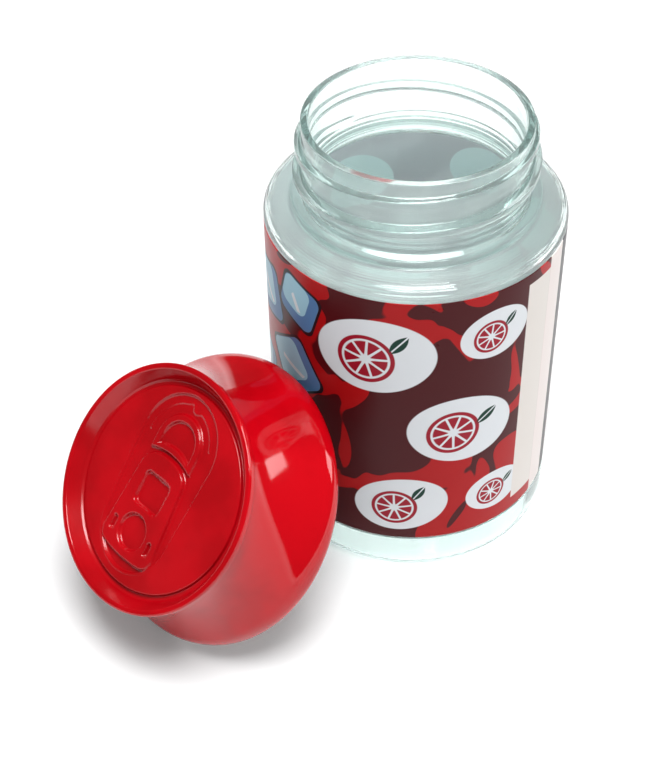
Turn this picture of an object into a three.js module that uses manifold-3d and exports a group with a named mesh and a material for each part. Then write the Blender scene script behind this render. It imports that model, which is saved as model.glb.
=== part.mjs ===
// Can diversion safe: a clear screw-top jar shaped like a drinks can, its wrap label, and its
// red can-top cap, which stands on its edge and leans against the jar.
// Millimetres, +Z up. The jar stands on z = 0, and the origin is under the middle of the whole.
import * as THREE from "three";
import { mergeVertices } from "three/addons/utils/BufferGeometryUtils.js";
import Module from "manifold-3d";

const wasm = await Module();
wasm.setup();

// Flats round a turned shape; thread ridges step along with them
const SEGMENTS = 60;

// Jar body
const bodyRadius = 33;
const jarWall = 0.9;
const jarBaseWall = 1.2;
const standingRingInset = 1.7;
const standingRingRadius = bodyRadius - standingRingInset;
const standingRingWidth = 1.6;
const baseCornerHeight = 2.6;
const basePushUp = 4;
const baseDomePower = 3.5;
const baseDomeShares = [0, 0.35, 0.6, 0.8, 0.93];
const labelLow = 10.9;
const labelHeight = 70.1;
const labelThickness = 0.2;
const labelGap = 0.1;
const labelMargin = 0.5;
const shoulderRound = 2.2;
const shoulderTop = 84.3;
const shoulderRise = 0.7;

// Jar neck
const neckRadius = 24.4;
const neckWall = 1.7;
const neckDraft = 0.15;
const neckHeight = 104.2;
const rimChamfer = 0.35;
const neckBeadRadius = 27.1;
const neckBeadLow = 85.4;
const neckBeadHeight = 1.8;
const neckBeadRound = 0.5;
const neckBeadMargin = 0.6;
const neckFootRound = 0.6;
const neckFootHeight = 1;
const neckThroat = 1.2;

// Screw thread, right-handed: its ridge climbs counter-clockwise seen from above
const threadPitch = 6.6;
const threadTurns = 1.75;
const threadTopBelowRim = 2;
const threadTopAngle = 27;
const threadCrestRadiusTop = 25.3;
const threadCrestRadiusLow = 26.4;
const threadGrowTurns = 1.25;
const threadCrestWidth = 1.2;
const threadRootWidth = 2.7;
const threadSink = 0.3;
const threadFade = 0.06;

// Wrap label lap at the back
const lapAngle = 75;
const lapWidth = 6;

// Cap, measured from the plane of its open edge
const capHeight = 24.4;
const capBulgeRadius = bodyRadius;
const capEdgeRound = 2.6;
const capEdgeSweep = 62;
const capBulgeRound = 5.5;
const capWall = 1.5;
const waistRadius = 26.1;
const waistBelowLip = 3.4;
const lipRadius = 27.4;
const lipWidth = 1.35;
const lipRound = 0.5;
const lipHeight = 1.9;
const lipFlare = 0.7;
const panelDepth = 2.6;
const panelRadius = 22.8;
const panelRound = 0.5;
const moatDepth = 0.8;
const moatWidth = 1.3;
const moatRound = 0.3;
const panelThickness = 1.6;

// Threaded skirt inside the cap
const skirtBottom = 3;
const skirtWall = 1.4;
const skirtClearance = 0.4;
const skirtRimClearance = 0.6;
const skirtRimRelief = 0.9;
const skirtFlareMargin = 1;
const skirtTaperLow = 12;
const skirtTaperHigh = 16.6;
const skirtGapDepth = 5.4;
const skirtGapRound = 0.5;
const skirtLead = 0.6;
const capThreadTurns = 0.85;
const capThreadDepth = 1.6;
const capThreadTop = 10.5;
const capThreadTopAngle = -63;
const linerRibRadius = 24.7;
const linerRibHeight = 0.7;
const linerRibGap = 0.2;

// Sealing liner
const linerRadius = 24.9;
const linerThickness = 1;
const linerGap = 0.3;
const linerEdge = 0.1;

// Relief on the cap's face, laid out about the centre of the tab's own axis
const reliefTurn = 3;
const reliefShift = -1.2;
const pocketTopRadius = 11.4;
const pocketBottomRadius = 10.2;
const pocketTopCentre = 10.2;
const pocketBottomCentre = -10.2;
const pocketDepth = 0.4;
const tabNose = 6.8;
const tabTail = -17.8;
const tabNoseHalfWidth = 6.9;
const tabTailHalfWidth = 8.6;
const tabShoulder = 3.4;
const tabHip = -14.2;
const tabNoseRound = 1;
const tabCorner = 3;
const tabTailBow = 0.4;
const tabRise = 0.35;
const fingerHoleRadius = 4.1;
const fingerHoleCentre = -11.7;
const windowWidth = 8;
const windowHeight = 7.6;
const windowCentre = -1.9;
const windowRound = 1.3;
const slotSpacing = 6.1;
const slotWidth = 1;
const slotLength = 3.2;
const slotCentre = -12.6;
const slotRound = 0.35;
const openingRise = 0.15;
const openingHalfWidth = 6.7;
const openingCentre = 10.4;
const openingGap = 0.9;
const openingBand = 1.7;
const openingShoulder = 3;
const reliefSink = 0.6;
const reliefHeadroom = 1;

// Where the cap rests: it leans on the jar with its lowest edge on the ground
const leanTilt = 49.1;
const leanBearing = 218.2;
const leanSideShift = -2.5;
const leanGap = 0.2;

const radians = THREE.MathUtils.degToRad;

// Points of an arc in a profile, from one angle to another in degrees
function arc(centreR, centreZ, radius, from, to, steps) {
  const points = [];
  for (let i = 0; i <= steps; i++) {
    const angle = radians(from + ((to - from) * i) / steps);
    points.push([centreR + radius * Math.cos(angle), centreZ + radius * Math.sin(angle)]);
  }
  return points;
}

// A closed mesh as a solid that can be joined and cut
function toSolid(geometry) {
  const bare = geometry.clone();
  bare.deleteAttribute("normal");
  bare.deleteAttribute("uv");
  const merged = mergeVertices(bare, 1e-4);
  return new wasm.Manifold(
    new wasm.Mesh({
      numProp: 3,
      vertProperties: merged.getAttribute("position").array,
      triVerts: new Uint32Array(merged.index.array),
    }),
  );
}

// A solid back as geometry for a mesh
function toGeometry(solid) {
  const made = solid.getMesh();
  const geometry = new THREE.BufferGeometry();
  geometry.setAttribute("position", new THREE.BufferAttribute(made.vertProperties, 3));
  geometry.setIndex(new THREE.BufferAttribute(made.triVerts, 1));
  geometry.computeVertexNormals();
  return geometry;
}

// A profile of [radius, height] points turned about +Z; it runs up the outside and down the inside
function turned(profile) {
  const points = profile.map(([r, z]) => new THREE.Vector2(r, z));
  return new THREE.LatheGeometry(points, SEGMENTS).rotateX(Math.PI / 2);
}

// A flat outline raised from one height to another
function raised(shape, low, high, curveSegments) {
  const geometry = new THREE.ExtrudeGeometry(shape, {
    depth: high - low,
    bevelEnabled: false,
    curveSegments,
  });
  return geometry.translate(0, 0, low);
}

// A thread ridge: a section swept up a helix. section(t) gives four [radius, height] corners,
// counter-clockwise, for t from 0 at the low end to 1 at the top end.
function ridge(turns, topAngle, section) {
  const steps = Math.round(turns * SEGMENTS);
  const position = [];
  const index = [];
  for (let i = 0; i <= steps; i++) {
    const t = i / steps;
    const angle = radians(topAngle) - (1 - t) * turns * 2 * Math.PI;
    for (const [r, z] of section(t)) {
      position.push(r * Math.cos(angle), r * Math.sin(angle), z);
    }
  }
  for (let i = 0; i < steps; i++) {
    for (let j = 0; j < 4; j++) {
      const a = 4 * i + j;
      const b = 4 * i + ((j + 1) % 4);
      index.push(a, b, b + 4, a, b + 4, a + 4);
    }
  }
  const end = 4 * steps;
  index.push(0, 2, 1, 0, 3, 2, end, end + 1, end + 2, end, end + 2, end + 3);
  const geometry = new THREE.BufferGeometry();
  geometry.setAttribute("position", new THREE.Float32BufferAttribute(position, 3));
  geometry.setIndex(index);
  return geometry;
}

// How far a ridge stands out along its length: it fades in and out at its two ends
function fade(t) {
  return THREE.MathUtils.clamp(Math.min(t, 1 - t) / threadFade, 0, 1);
}

// Height of the jar's thread ridge, above the jar's base, t from the low end to the top end
const threadTopHeight = neckHeight - threadTopBelowRim;
const threadHeight = (t) => threadTopHeight - (1 - t) * threadTurns * threadPitch;

function jarThread() {
  return ridge(threadTurns, threadTopAngle, (t) => {
    const z = threadHeight(t);
    const low = Math.min(1, ((1 - t) * threadTurns) / threadGrowTurns);
    const crest = THREE.MathUtils.lerp(threadCrestRadiusTop, threadCrestRadiusLow, low);
    const root = neckRadius - threadSink;
    const r = THREE.MathUtils.lerp(neckRadius - threadSink / 2, crest, fade(t));
    return [
      [root, z - threadRootWidth / 2],
      [r, z - threadCrestWidth / 2],
      [r, z + threadCrestWidth / 2],
      [root, z + threadRootWidth / 2],
    ];
  });
}

// Points from the jar's axis out to the standing ring: the base is pushed up in the middle
const ringInside = standingRingRadius - standingRingWidth;

function baseDome(lift) {
  const rise = (share) => basePushUp * (1 - share ** baseDomePower);
  return baseDomeShares.map((share) => [ringInside * share, lift + rise(share)]);
}

// Points of the corner between the base and the wall, from the base up
function baseCorner(from, to, lift, steps) {
  const points = [];
  for (let i = 0; i <= steps; i++) {
    const angle = (Math.PI / 2) * (i / steps);
    const r = from + (to - from) * Math.sin(angle);
    points.push([r, lift + baseCornerHeight * (1 - Math.cos(angle))]);
  }
  return points;
}

// Outside of the jar from the middle of the pushed-up base to the neck's rim
function jarOutside() {
  const panel = bodyRadius - labelThickness - labelGap;
  const labelTop = labelLow + labelHeight;
  const shoulderCorner = bodyRadius - shoulderRound;
  return [
    ...baseDome(0),
    [ringInside, 0],
    ...baseCorner(standingRingRadius, bodyRadius, 0, 3),
    [bodyRadius, labelLow - labelMargin],
    [panel, labelLow - labelMargin / 2],
    [panel, labelTop + labelMargin / 2],
    [bodyRadius, labelTop + labelMargin],
    ...arc(shoulderCorner, shoulderTop - shoulderRound, shoulderRound, 0, 90, 5),
    [neckBeadRadius + neckBeadMargin, shoulderTop + shoulderRise],
    [neckBeadRadius - neckBeadRound, neckBeadLow],
    [neckBeadRadius, neckBeadLow + neckBeadRound],
    [neckBeadRadius, neckBeadLow + neckBeadHeight - neckBeadRound],
    [neckBeadRadius - neckBeadRound, neckBeadLow + neckBeadHeight],
    [neckRadius + neckFootRound, neckBeadLow + neckBeadHeight + neckDraft],
    [neckRadius + neckDraft, neckBeadLow + neckBeadHeight + neckFootHeight],
    [neckRadius, neckHeight - rimChamfer],
    [neckRadius - rimChamfer, neckHeight],
  ];
}

// Inside of the jar from the neck's rim down to the middle of its floor
function jarInside() {
  const bore = neckRadius - neckWall;
  const wall = bodyRadius - labelThickness - labelGap - jarWall;
  const shoulder = shoulderTop - jarWall;
  const floorEdge = standingRingRadius - jarWall;
  return [
    [bore + rimChamfer, neckHeight],
    [bore, neckHeight - rimChamfer],
    [bore, neckBeadLow + neckBeadHeight],
    [bore + neckThroat, shoulder + shoulderRise],
    ...arc(wall - shoulderRound, shoulder - shoulderRound, shoulderRound, 90, 0, 3),
    [wall, labelLow - labelMargin],
    ...baseCorner(floorEdge, wall, jarBaseWall, 2).reverse(),
    [ringInside, jarBaseWall],
    ...baseDome(jarBaseWall).reverse(),
  ];
}

function jarGeometry() {
  const shell = toSolid(turned([...jarOutside(), ...jarInside()]));
  return toGeometry(shell.add(toSolid(jarThread())));
}

// The label is one film round the jar; its last few millimetres lap over its first
function labelGeometry() {
  const inner = bodyRadius - labelThickness;
  const lap = (lapWidth / bodyRadius) * (180 / Math.PI);
  const step = 360 / SEGMENTS;
  const lapSteps = Math.max(1, Math.round(lap / step));
  const start = Math.round(lapAngle / step);
  const outline = [];
  const hole = [];
  for (let i = 0; i <= SEGMENTS; i++) {
    const angle = radians((start + i) * step);
    const direction = new THREE.Vector2(Math.cos(angle), Math.sin(angle));
    if (i < SEGMENTS) hole.push(direction.clone().multiplyScalar(inner));
    if (i <= lapSteps) outline.push(direction.clone().multiplyScalar(bodyRadius + labelThickness));
    if (i >= lapSteps) outline.push(direction.clone().multiplyScalar(bodyRadius));
  }
  const shape = new THREE.Shape(outline);
  shape.holes.push(new THREE.Path(hole));
  return raised(shape, labelLow, labelLow + labelHeight, 1);
}

// Height of the cap's widest line above its open edge, and the radius of that edge
const bulgeHeight = capEdgeRound * Math.sin(radians(capEdgeSweep));
const edgeCentreRadius = capBulgeRadius - capEdgeRound;
const waistHeight = capHeight - waistBelowLip;
const panelTop = capHeight - panelDepth;
const panelUnder = panelTop - panelThickness;

// The cap's wall between its widest line and its waist: a convex arc, then a concave one.
// inset moves it inwards by the wall's thickness.
function capFlare(inset, steps) {
  const rise = waistHeight - bulgeHeight;
  const run = capBulgeRadius - waistRadius;
  const tilt = 2 * Math.atan2(run, rise);
  const hollowRound = rise / Math.sin(tilt) - capBulgeRound;
  const degrees = THREE.MathUtils.radToDeg(tilt);
  const bulge = arc(
    capBulgeRadius - capBulgeRound,
    bulgeHeight,
    capBulgeRound - inset,
    0,
    degrees,
    steps,
  );
  const hollow = arc(
    waistRadius + hollowRound,
    waistHeight,
    hollowRound + inset,
    180 + degrees,
    180,
    steps + 2,
  );
  return [...bulge, ...hollow.slice(1)];
}

// Outside of the cap from its open edge up over the lip to the middle of its face
function capOutside() {
  const lipInside = lipRadius - lipWidth;
  return [
    ...arc(edgeCentreRadius, bulgeHeight, capEdgeRound, -capEdgeSweep, 0, 4),
    ...capFlare(0, 5).slice(1),
    [waistRadius, capHeight - lipHeight - lipFlare],
    [lipRadius, capHeight - lipHeight],
    ...arc(lipRadius - lipRound, capHeight - lipRound, lipRound, 0, 90, 2),
    ...arc(lipInside + lipRound, capHeight - lipRound, lipRound, 90, 180, 1),
    [panelRadius + moatWidth, panelTop - moatDepth + moatRound],
    [panelRadius + moatWidth - moatRound, panelTop - moatDepth],
    [panelRadius + moatRound, panelTop - moatDepth],
    ...arc(panelRadius - panelRound, panelTop - panelRound, panelRound, 0, 90, 2),
    [0, panelTop],
  ];
}

// Inside of the cap from the middle under its face down the threaded skirt to its open edge
function capInside() {
  const wide = threadCrestRadiusLow + skirtClearance;
  const narrow = threadCrestRadiusTop + skirtRimClearance;
  const linerBore = linerRadius + linerGap;
  const ribTop = panelUnder - linerThickness - linerGap - linerRibGap;
  const skirtOutside = wide + skirtWall;
  const gapTop = skirtBottom + skirtGapDepth;
  const flare = capFlare(capWall, 5).filter(([r]) => r > skirtOutside + skirtFlareMargin);
  const edgeInside = edgeCentreRadius + capEdgeRound * Math.cos(radians(capEdgeSweep)) - capWall;
  return [
    [0, panelUnder],
    [linerBore, panelUnder],
    [linerBore, ribTop],
    [linerRibRadius, ribTop - linerRibHeight / 2],
    [linerRibRadius, ribTop - linerRibHeight],
    [narrow, ribTop - linerRibHeight - skirtRimRelief],
    [narrow, skirtTaperHigh],
    [wide, skirtTaperLow],
    [wide, skirtBottom + skirtLead],
    [wide + skirtLead / 2, skirtBottom],
    [skirtOutside, skirtBottom],
    [skirtOutside, gapTop],
    [skirtOutside + skirtGapRound, gapTop + skirtGapRound],
    ...flare.reverse(),
    [edgeInside, 0],
  ];
}

// The cap's own ridge stands inwards from its skirt and hooks under the jar's ridge
function capThread() {
  const wall = threadCrestRadiusLow + skirtClearance;
  return ridge(capThreadTurns, capThreadTopAngle, (t) => {
    const z = capThreadTop - (1 - t) * capThreadTurns * threadPitch;
    const root = wall + threadSink;
    const r = THREE.MathUtils.lerp(wall + threadSink / 2, wall - capThreadDepth, fade(t));
    return [
      [r, z - threadCrestWidth / 2],
      [root, z - threadRootWidth / 2],
      [root, z + threadRootWidth / 2],
      [r, z + threadCrestWidth / 2],
    ];
  });
}

// Outline of the shallow pocket round the tab and the pour opening
function pocketShape() {
  const lean = Math.asin(
    (pocketTopRadius - pocketBottomRadius) / (pocketTopCentre - pocketBottomCentre),
  );
  const shape = new THREE.Shape();
  shape.absarc(0, pocketTopCentre, pocketTopRadius, -lean, Math.PI + lean, false);
  shape.absarc(0, pocketBottomCentre, pocketBottomRadius, Math.PI + lean, 2 * Math.PI - lean, false);
  return shape;
}

// Outline of the tab: a round nose, straight sides that widen, and a blunt tail
function tabShape() {
  const nose = tabNoseHalfWidth - tabNoseRound;
  const tail = tabTailHalfWidth - tabCorner;
  const low = tabTail + tabTailBow;
  const shape = new THREE.Shape();
  shape.moveTo(-tabNoseHalfWidth, tabShoulder);
  shape.quadraticCurveTo(-nose, tabNose, 0, tabNose);
  shape.quadraticCurveTo(nose, tabNose, tabNoseHalfWidth, tabShoulder);
  shape.lineTo(tabTailHalfWidth, tabHip);
  shape.quadraticCurveTo(tabTailHalfWidth, low + tabTailBow, tail, low);
  shape.quadraticCurveTo(0, low - 2 * tabTailBow, -tail, low);
  shape.quadraticCurveTo(-tabTailHalfWidth, low + tabTailBow, -tabTailHalfWidth, tabHip);
  shape.closePath();
  return shape;
}

// Outline of a D with a hollow straight side; inset draws the smaller, inner D
function openingShape(inset) {
  const half = openingHalfWidth - inset;
  const low = tabNose + openingGap + inset;
  const side = tabShoulder + openingShoulder + inset;
  const shape = new THREE.Shape();
  shape.moveTo(-half, side);
  shape.quadraticCurveTo(0, 2 * low - side, half, side);
  shape.lineTo(half, openingCentre);
  shape.absarc(0, openingCentre, half, 0, Math.PI, false);
  shape.closePath();
  return shape;
}

function roundedBox(width, height, centre, round) {
  const x = width / 2;
  const y = height / 2;
  const shape = new THREE.Shape();
  shape.moveTo(-x + round, centre - y);
  shape.lineTo(x - round, centre - y);
  shape.quadraticCurveTo(x, centre - y, x, centre - y + round);
  shape.lineTo(x, centre + y - round);
  shape.quadraticCurveTo(x, centre + y, x - round, centre + y);
  shape.lineTo(-x + round, centre + y);
  shape.quadraticCurveTo(-x, centre + y, -x, centre + y - round);
  shape.lineTo(-x, centre - y + round);
  shape.quadraticCurveTo(-x, centre - y, -x + round, centre - y);
  return shape;
}

// Cuts the pocket into the cap's face and raises the tab and the pour opening in it
function addRelief(cap) {
  const floor = panelTop - pocketDepth;
  const tabTop = panelTop + tabRise;
  const openingTop = panelTop + openingRise;
  const above = tabTop + reliefHeadroom;
  const place = (geometry) =>
    toSolid(geometry.rotateZ(radians(reliefTurn)).translate(reliefShift, 0, 0));
  const hole = new THREE.Shape().absarc(0, fingerHoleCentre, fingerHoleRadius, 0, 2 * Math.PI);
  const windowOutline = roundedBox(windowWidth, windowHeight, windowCentre, windowRound);
  let made = cap.subtract(place(raised(pocketShape(), floor, above, 20)));
  made = made.add(place(raised(tabShape(), floor - reliefSink, tabTop, 6)));
  made = made.add(place(raised(openingShape(0), floor - reliefSink, openingTop, 16)));
  made = made.subtract(place(raised(openingShape(openingBand), floor, above, 14)));
  made = made.subtract(place(raised(hole, floor, above, 24)));
  made = made.subtract(place(raised(windowOutline, floor, above, 3)));
  for (const side of [-1, 1]) {
    const slot = roundedBox(slotWidth, slotLength, slotCentre, slotRound);
    const slotGeometry = raised(slot, floor, above, 3).translate(side * slotSpacing, 0, 0);
    made = made.subtract(place(slotGeometry));
  }
  return made;
}

function capGeometry() {
  const shell = toSolid(turned([...capInside(), ...capOutside()]));
  return toGeometry(addRelief(shell.add(toSolid(capThread()))));
}

function linerGeometry() {
  const top = panelUnder - linerGap;
  const low = top - linerThickness;
  return turned([
    [0, low],
    [linerRadius - linerEdge, low],
    [linerRadius, low + linerEdge],
    [linerRadius, top - linerEdge],
    [linerRadius - linerEdge, top],
    [0, top],
  ]);
}

function part(name, geometry, color, roughness, extra = {}) {
  const material = new THREE.MeshStandardMaterial({ color, roughness, metalness: 0, ...extra });
  const mesh = new THREE.Mesh(geometry, material);
  mesh.name = name;
  return mesh;
}

// The lid group's own +Z is the cap's axis, pointing out of its face. It tilts away from the
// jar, its edge rests on the ground, and its raised side stops just short of the jar's wall.
function leaningLid() {
  const tilt = radians(leanTilt);
  const bearing = radians(leanBearing);
  const away = new THREE.Vector3(Math.cos(bearing), Math.sin(bearing), 0);
  const sideways = new THREE.Vector3(-Math.sin(bearing), Math.cos(bearing), 0);
  const axis = away.clone().multiplyScalar(Math.sin(tilt)).setZ(Math.cos(tilt));
  const reach = bodyRadius + leanGap + capEdgeRound + edgeCentreRadius * Math.cos(tilt);
  const bulgeCentre = away
    .clone()
    .multiplyScalar(reach)
    .addScaledVector(sideways, leanSideShift)
    .setZ(edgeCentreRadius * Math.sin(tilt) + capEdgeRound);
  const upSlope = new THREE.Vector3().crossVectors(axis, sideways);
  const lid = new THREE.Group();
  lid.add(part("screw_cap", capGeometry(), 0xc4101c, 0.25));
  lid.add(part("sealing_liner", linerGeometry(), 0xf2f0ea, 0.8));
  lid.quaternion.setFromRotationMatrix(new THREE.Matrix4().makeBasis(sideways, upSlope, axis));
  lid.position.copy(bulgeCentre).addScaledVector(axis, -bulgeHeight);
  return lid;
}

const safe = new THREE.Group();
safe.add(part("jar_body", jarGeometry(), 0xe6f2f0, 0.05, { transparent: true, opacity: 0.35 }));
safe.add(part("wrap_label", labelGeometry(), 0x7a1a22, 0.35));
safe.add(leaningLid());

// The origin goes to the ground under the middle of the footprint
const extent = new THREE.Box3().setFromObject(safe, true);
const middle = extent.getCenter(new THREE.Vector3());
safe.position.set(-middle.x, -middle.y, -extent.min.z);

export default safe;
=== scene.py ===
"""Looks of the can diversion safe: clear jar, printed wrap label and red can-top screw cap.

Lengths are in metres, but for the label's print and the relief of the cap's face, which are drawn
in millimetres. The jar stands upright and the cap leans on it.
"""

import logging
import math
from dataclasses import asdict, dataclass, fields
from enum import Enum

import bpy
import numpy as np
from mathutils import Matrix, Vector


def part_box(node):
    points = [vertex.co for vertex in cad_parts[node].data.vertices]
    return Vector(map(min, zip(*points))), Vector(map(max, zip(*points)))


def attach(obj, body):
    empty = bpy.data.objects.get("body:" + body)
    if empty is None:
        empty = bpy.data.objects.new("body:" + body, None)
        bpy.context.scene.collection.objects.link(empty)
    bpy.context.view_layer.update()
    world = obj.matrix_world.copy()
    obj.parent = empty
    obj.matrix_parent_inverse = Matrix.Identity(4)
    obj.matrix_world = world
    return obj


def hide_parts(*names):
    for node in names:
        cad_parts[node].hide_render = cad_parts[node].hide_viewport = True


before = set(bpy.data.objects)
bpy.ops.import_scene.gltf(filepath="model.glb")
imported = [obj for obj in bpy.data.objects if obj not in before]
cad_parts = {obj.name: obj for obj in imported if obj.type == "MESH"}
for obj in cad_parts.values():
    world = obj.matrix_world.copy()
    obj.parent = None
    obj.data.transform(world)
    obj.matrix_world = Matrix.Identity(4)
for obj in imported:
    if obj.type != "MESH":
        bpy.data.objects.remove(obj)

log = logging.getLogger("can_safe")

MM = 0.001
TINY = 1e-6
FULL_TURN = 2 * math.pi
SATIN = "satin"
THREAD_PITCH = 6.6 * MM

Point = tuple[float, float]
Corner = tuple[float, float, float]
Color = tuple[float, float, float, float]
Piece = bpy.types.Object
Socket = bpy.types.NodeSocket
Given = Socket | float | tuple[float, ...]
Inputs = dict[str | int, Given]


class Body(Enum):
    """Rigid bodies of the frame that pieces ride on."""

    JAR = "jar"
    CAP = "cap"
    LINER = "liner"


def srgb(red: int, green: int, blue: int) -> Color:
    """Turns a screen colour into the linear colour that shaders take.

    Args:
        red: Red from 0 to 255.
        green: Green from 0 to 255.
        blue: Blue from 0 to 255.

    Returns:
        Linear red, green, blue and an alpha of 1.
    """

    def linear(value: int) -> float:
        """Linear share of one 8-bit channel."""
        share = value / 255
        return share / 12.92 if share <= 0.04045 else ((share + 0.055) / 1.055) ** 2.4

    return linear(red), linear(green), linear(blue), 1.0


WHITE = srgb(255, 255, 255)


def select_only(piece: Piece) -> None:
    """Leaves object mode with one piece selected and active.

    Args:
        piece: The piece to select.
    """
    if bpy.context.mode != "OBJECT":
        bpy.ops.object.mode_set(mode="OBJECT")
    bpy.ops.object.select_all(action="DESELECT")
    piece.select_set(True)
    bpy.context.view_layer.objects.active = piece


def arc(centre: Point, radius: float, start: float, end: float, steps: int) -> list[Point]:
    """Points on an arc about a centre, between two angles in degrees of which 0 is out and 90 up."""
    angles = [math.radians(start + (end - start) * i / steps) for i in range(steps + 1)]
    return [(centre[0] + radius * math.cos(a), centre[1] + radius * math.sin(a)) for a in angles]


def bend(start: Vector, pull: Vector, end: Vector, share: float) -> Vector:
    """Point a share of the way along a quadratic curve that bends towards pull."""
    return start * (1 - share) ** 2 + pull * 2 * share * (1 - share) + end * share**2


def curve(start: Point, pull: Point, end: Point, steps: int = 8) -> list[Point]:
    """Points of a quadratic curve that bends towards pull, without its last."""
    ends = (Vector(start), Vector(pull), Vector(end))
    return [tuple(bend(*ends, i / steps)) for i in range(steps)]


def rounded(corners: list[Corner], steps: int = 4, most: float = 0.49) -> list[Point]:
    """Rounds the corners of an open profile.

    Args:
        corners: Radius, height and rounding radius of each corner.
        steps: Chords in each rounding.
        most: Largest share of a side that one rounding may take.

    Returns:
        The profile with an arc in place of each corner that has a rounding.
    """
    made: list[Point] = []
    for i, (radius, height, fillet) in enumerate(corners):
        if fillet == 0 or i in (0, len(corners) - 1):
            made.append((radius, height))
            continue
        corner = Vector((radius, height))
        back = Vector(corners[i - 1][:2]) - corner
        ahead = Vector(corners[i + 1][:2]) - corner
        half = back.angle(ahead) / 2
        reach = min(fillet / math.tan(half), back.length * most, ahead.length * most)
        start = corner + back.normalized() * reach
        end = corner + ahead.normalized() * reach
        made += [tuple(bend(start, corner, end, k / steps)) for k in range(steps + 1)]
    return made


def rows(start: Point, end: Point, spacing: float) -> list[Point]:
    """Evenly spaced points between two points of a profile, without its last.

    Args:
        start: First point.
        end: Last point, which is left out.
        spacing: Largest distance between points.

    Returns:
        The points from start on.
    """
    count = max(1, math.ceil(math.dist(start, end) / spacing))
    return [
        (start[0] + (end[0] - start[0]) * i / count, start[1] + (end[1] - start[1]) * i / count)
        for i in range(count)
    ]


def turn(name: str, profile: list[Point], sides: int) -> Piece:
    """Spins a profile about Z, as on a lathe, into a closed mesh.

    Args:
        name: Name of the new piece.
        profile: Radius and height of each point, ending on the axis or closing on itself.
        sides: Flats round the turned shape.

    Returns:
        The turned piece.
    """
    bpy.ops.object.select_all(action="DESELECT")
    bpy.ops.mesh.primitive_circle_add(vertices=len(profile), radius=profile[1][0])
    piece = bpy.context.active_object
    piece.name = name
    for vertex, (radius, height) in zip(piece.data.vertices, profile):
        vertex.co = (radius, 0.0, height)
    bpy.ops.object.mode_set(mode="EDIT")
    bpy.ops.mesh.select_all(action="SELECT")
    bpy.ops.mesh.spin(steps=sides, angle=FULL_TURN, center=(0, 0, 0), axis=(0, 0, 1))
    bpy.ops.mesh.select_all(action="SELECT")
    bpy.ops.mesh.remove_doubles(threshold=TINY)
    bpy.ops.mesh.delete_loose(use_verts=True, use_edges=True, use_faces=False)
    bpy.ops.mesh.select_all(action="SELECT")
    bpy.ops.mesh.normals_make_consistent(inside=False)
    bpy.ops.object.mode_set(mode="OBJECT")
    return piece


def read_vertices(piece: Piece) -> np.ndarray:
    """Vertex places of a piece.

    Args:
        piece: The piece to read.

    Returns:
        One row of x, y and z for each vertex.
    """
    flat = np.empty(len(piece.data.vertices) * 3)
    piece.data.vertices.foreach_get("co", flat)
    return flat.reshape(-1, 3)


def write_vertices(piece: Piece, places: np.ndarray) -> None:
    """Moves the vertices of a piece to new places."""
    piece.data.vertices.foreach_set("co", places.ravel())
    piece.data.update()


def from_axis(places: np.ndarray) -> np.ndarray:
    """Distance of each place from the Z axis."""
    return np.hypot(places[:, 0], places[:, 1])


def bearings(places: np.ndarray) -> np.ndarray:
    """Bearing of each place round the Z axis in degrees."""
    return np.degrees(np.arctan2(places[:, 1], places[:, 0]))


def push_out(places: np.ndarray, lift: np.ndarray) -> None:
    """Moves places straight away from the Z axis, each by its own lift."""
    scale = 1 + lift / np.maximum(from_axis(places), TINY)
    places[:, :2] *= scale[:, None]


def ramp(value: np.ndarray) -> np.ndarray:
    """Eases values from 0 to 1 with level ends."""
    held = np.clip(value, 0, 1)
    return held * held * (3 - 2 * held)


def settle(piece: Piece, place: Matrix, sharp: float) -> None:
    """Shades a piece smooth and places it, with its object left at the origin.

    Args:
        piece: The piece, made in its own frame.
        place: Where that frame goes.
        sharp: Edges that turn by more than this many degrees stay sharp.
    """
    select_only(piece)
    bpy.ops.object.shade_smooth_by_angle(angle=math.radians(sharp))
    piece.matrix_world = place
    bpy.ops.object.transform_apply(location=True, rotation=True, scale=True)


@dataclass(frozen=True)
class Helix:
    """A screw-thread ridge on a round wall, right-handed.

    Args:
        pitch: Rise in one turn.
        turns: Length of the ridge in turns.
        top: Height of its upper end.
        top_angle: Bearing of its upper end in degrees.
        crest_top: Radius of its crest at the upper end.
        crest_low: Radius of its crest lower down.
        crest_width: Width of its crest.
        root_width: Width where it meets the wall.
        fade: Share of a turn over which each end rises from the wall.
        growth: Turns over which the crest goes from its upper radius to its lower one.
    """

    pitch: float
    turns: float
    top: float
    top_angle: float
    crest_top: float
    crest_low: float
    crest_width: float
    root_width: float
    fade: float = 0.1
    growth: float = 1.2

    def lift(self, places: np.ndarray) -> np.ndarray:
        """How far the ridge moves a wall out, or in where its crest is smaller than the wall.

        Args:
            places: One row of x, y and z for each vertex of the wall.

        Returns:
            The change in radius at each vertex.
        """
        wall = from_axis(places)
        below = ((self.top_angle - bearings(places)) / 360) % 1
        slope = (self.root_width - self.crest_width) / 2
        best = np.zeros(len(places))
        for extra in range(-1, math.ceil(self.turns) + 1):
            down = below + extra
            away = np.abs(places[:, 2] - self.top + down * self.pitch)
            section = ramp(1 - (away - self.crest_width / 2) / slope)
            ends = ramp(down / self.fade) * ramp((self.turns - down) / self.fade)
            grown = np.clip(down / self.growth, 0, 1)
            crest = self.crest_top + (self.crest_low - self.crest_top) * grown
            moved = (crest - wall) * section * ends
            best = np.where(np.abs(moved) > np.abs(best), moved, best)
        return best


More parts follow.
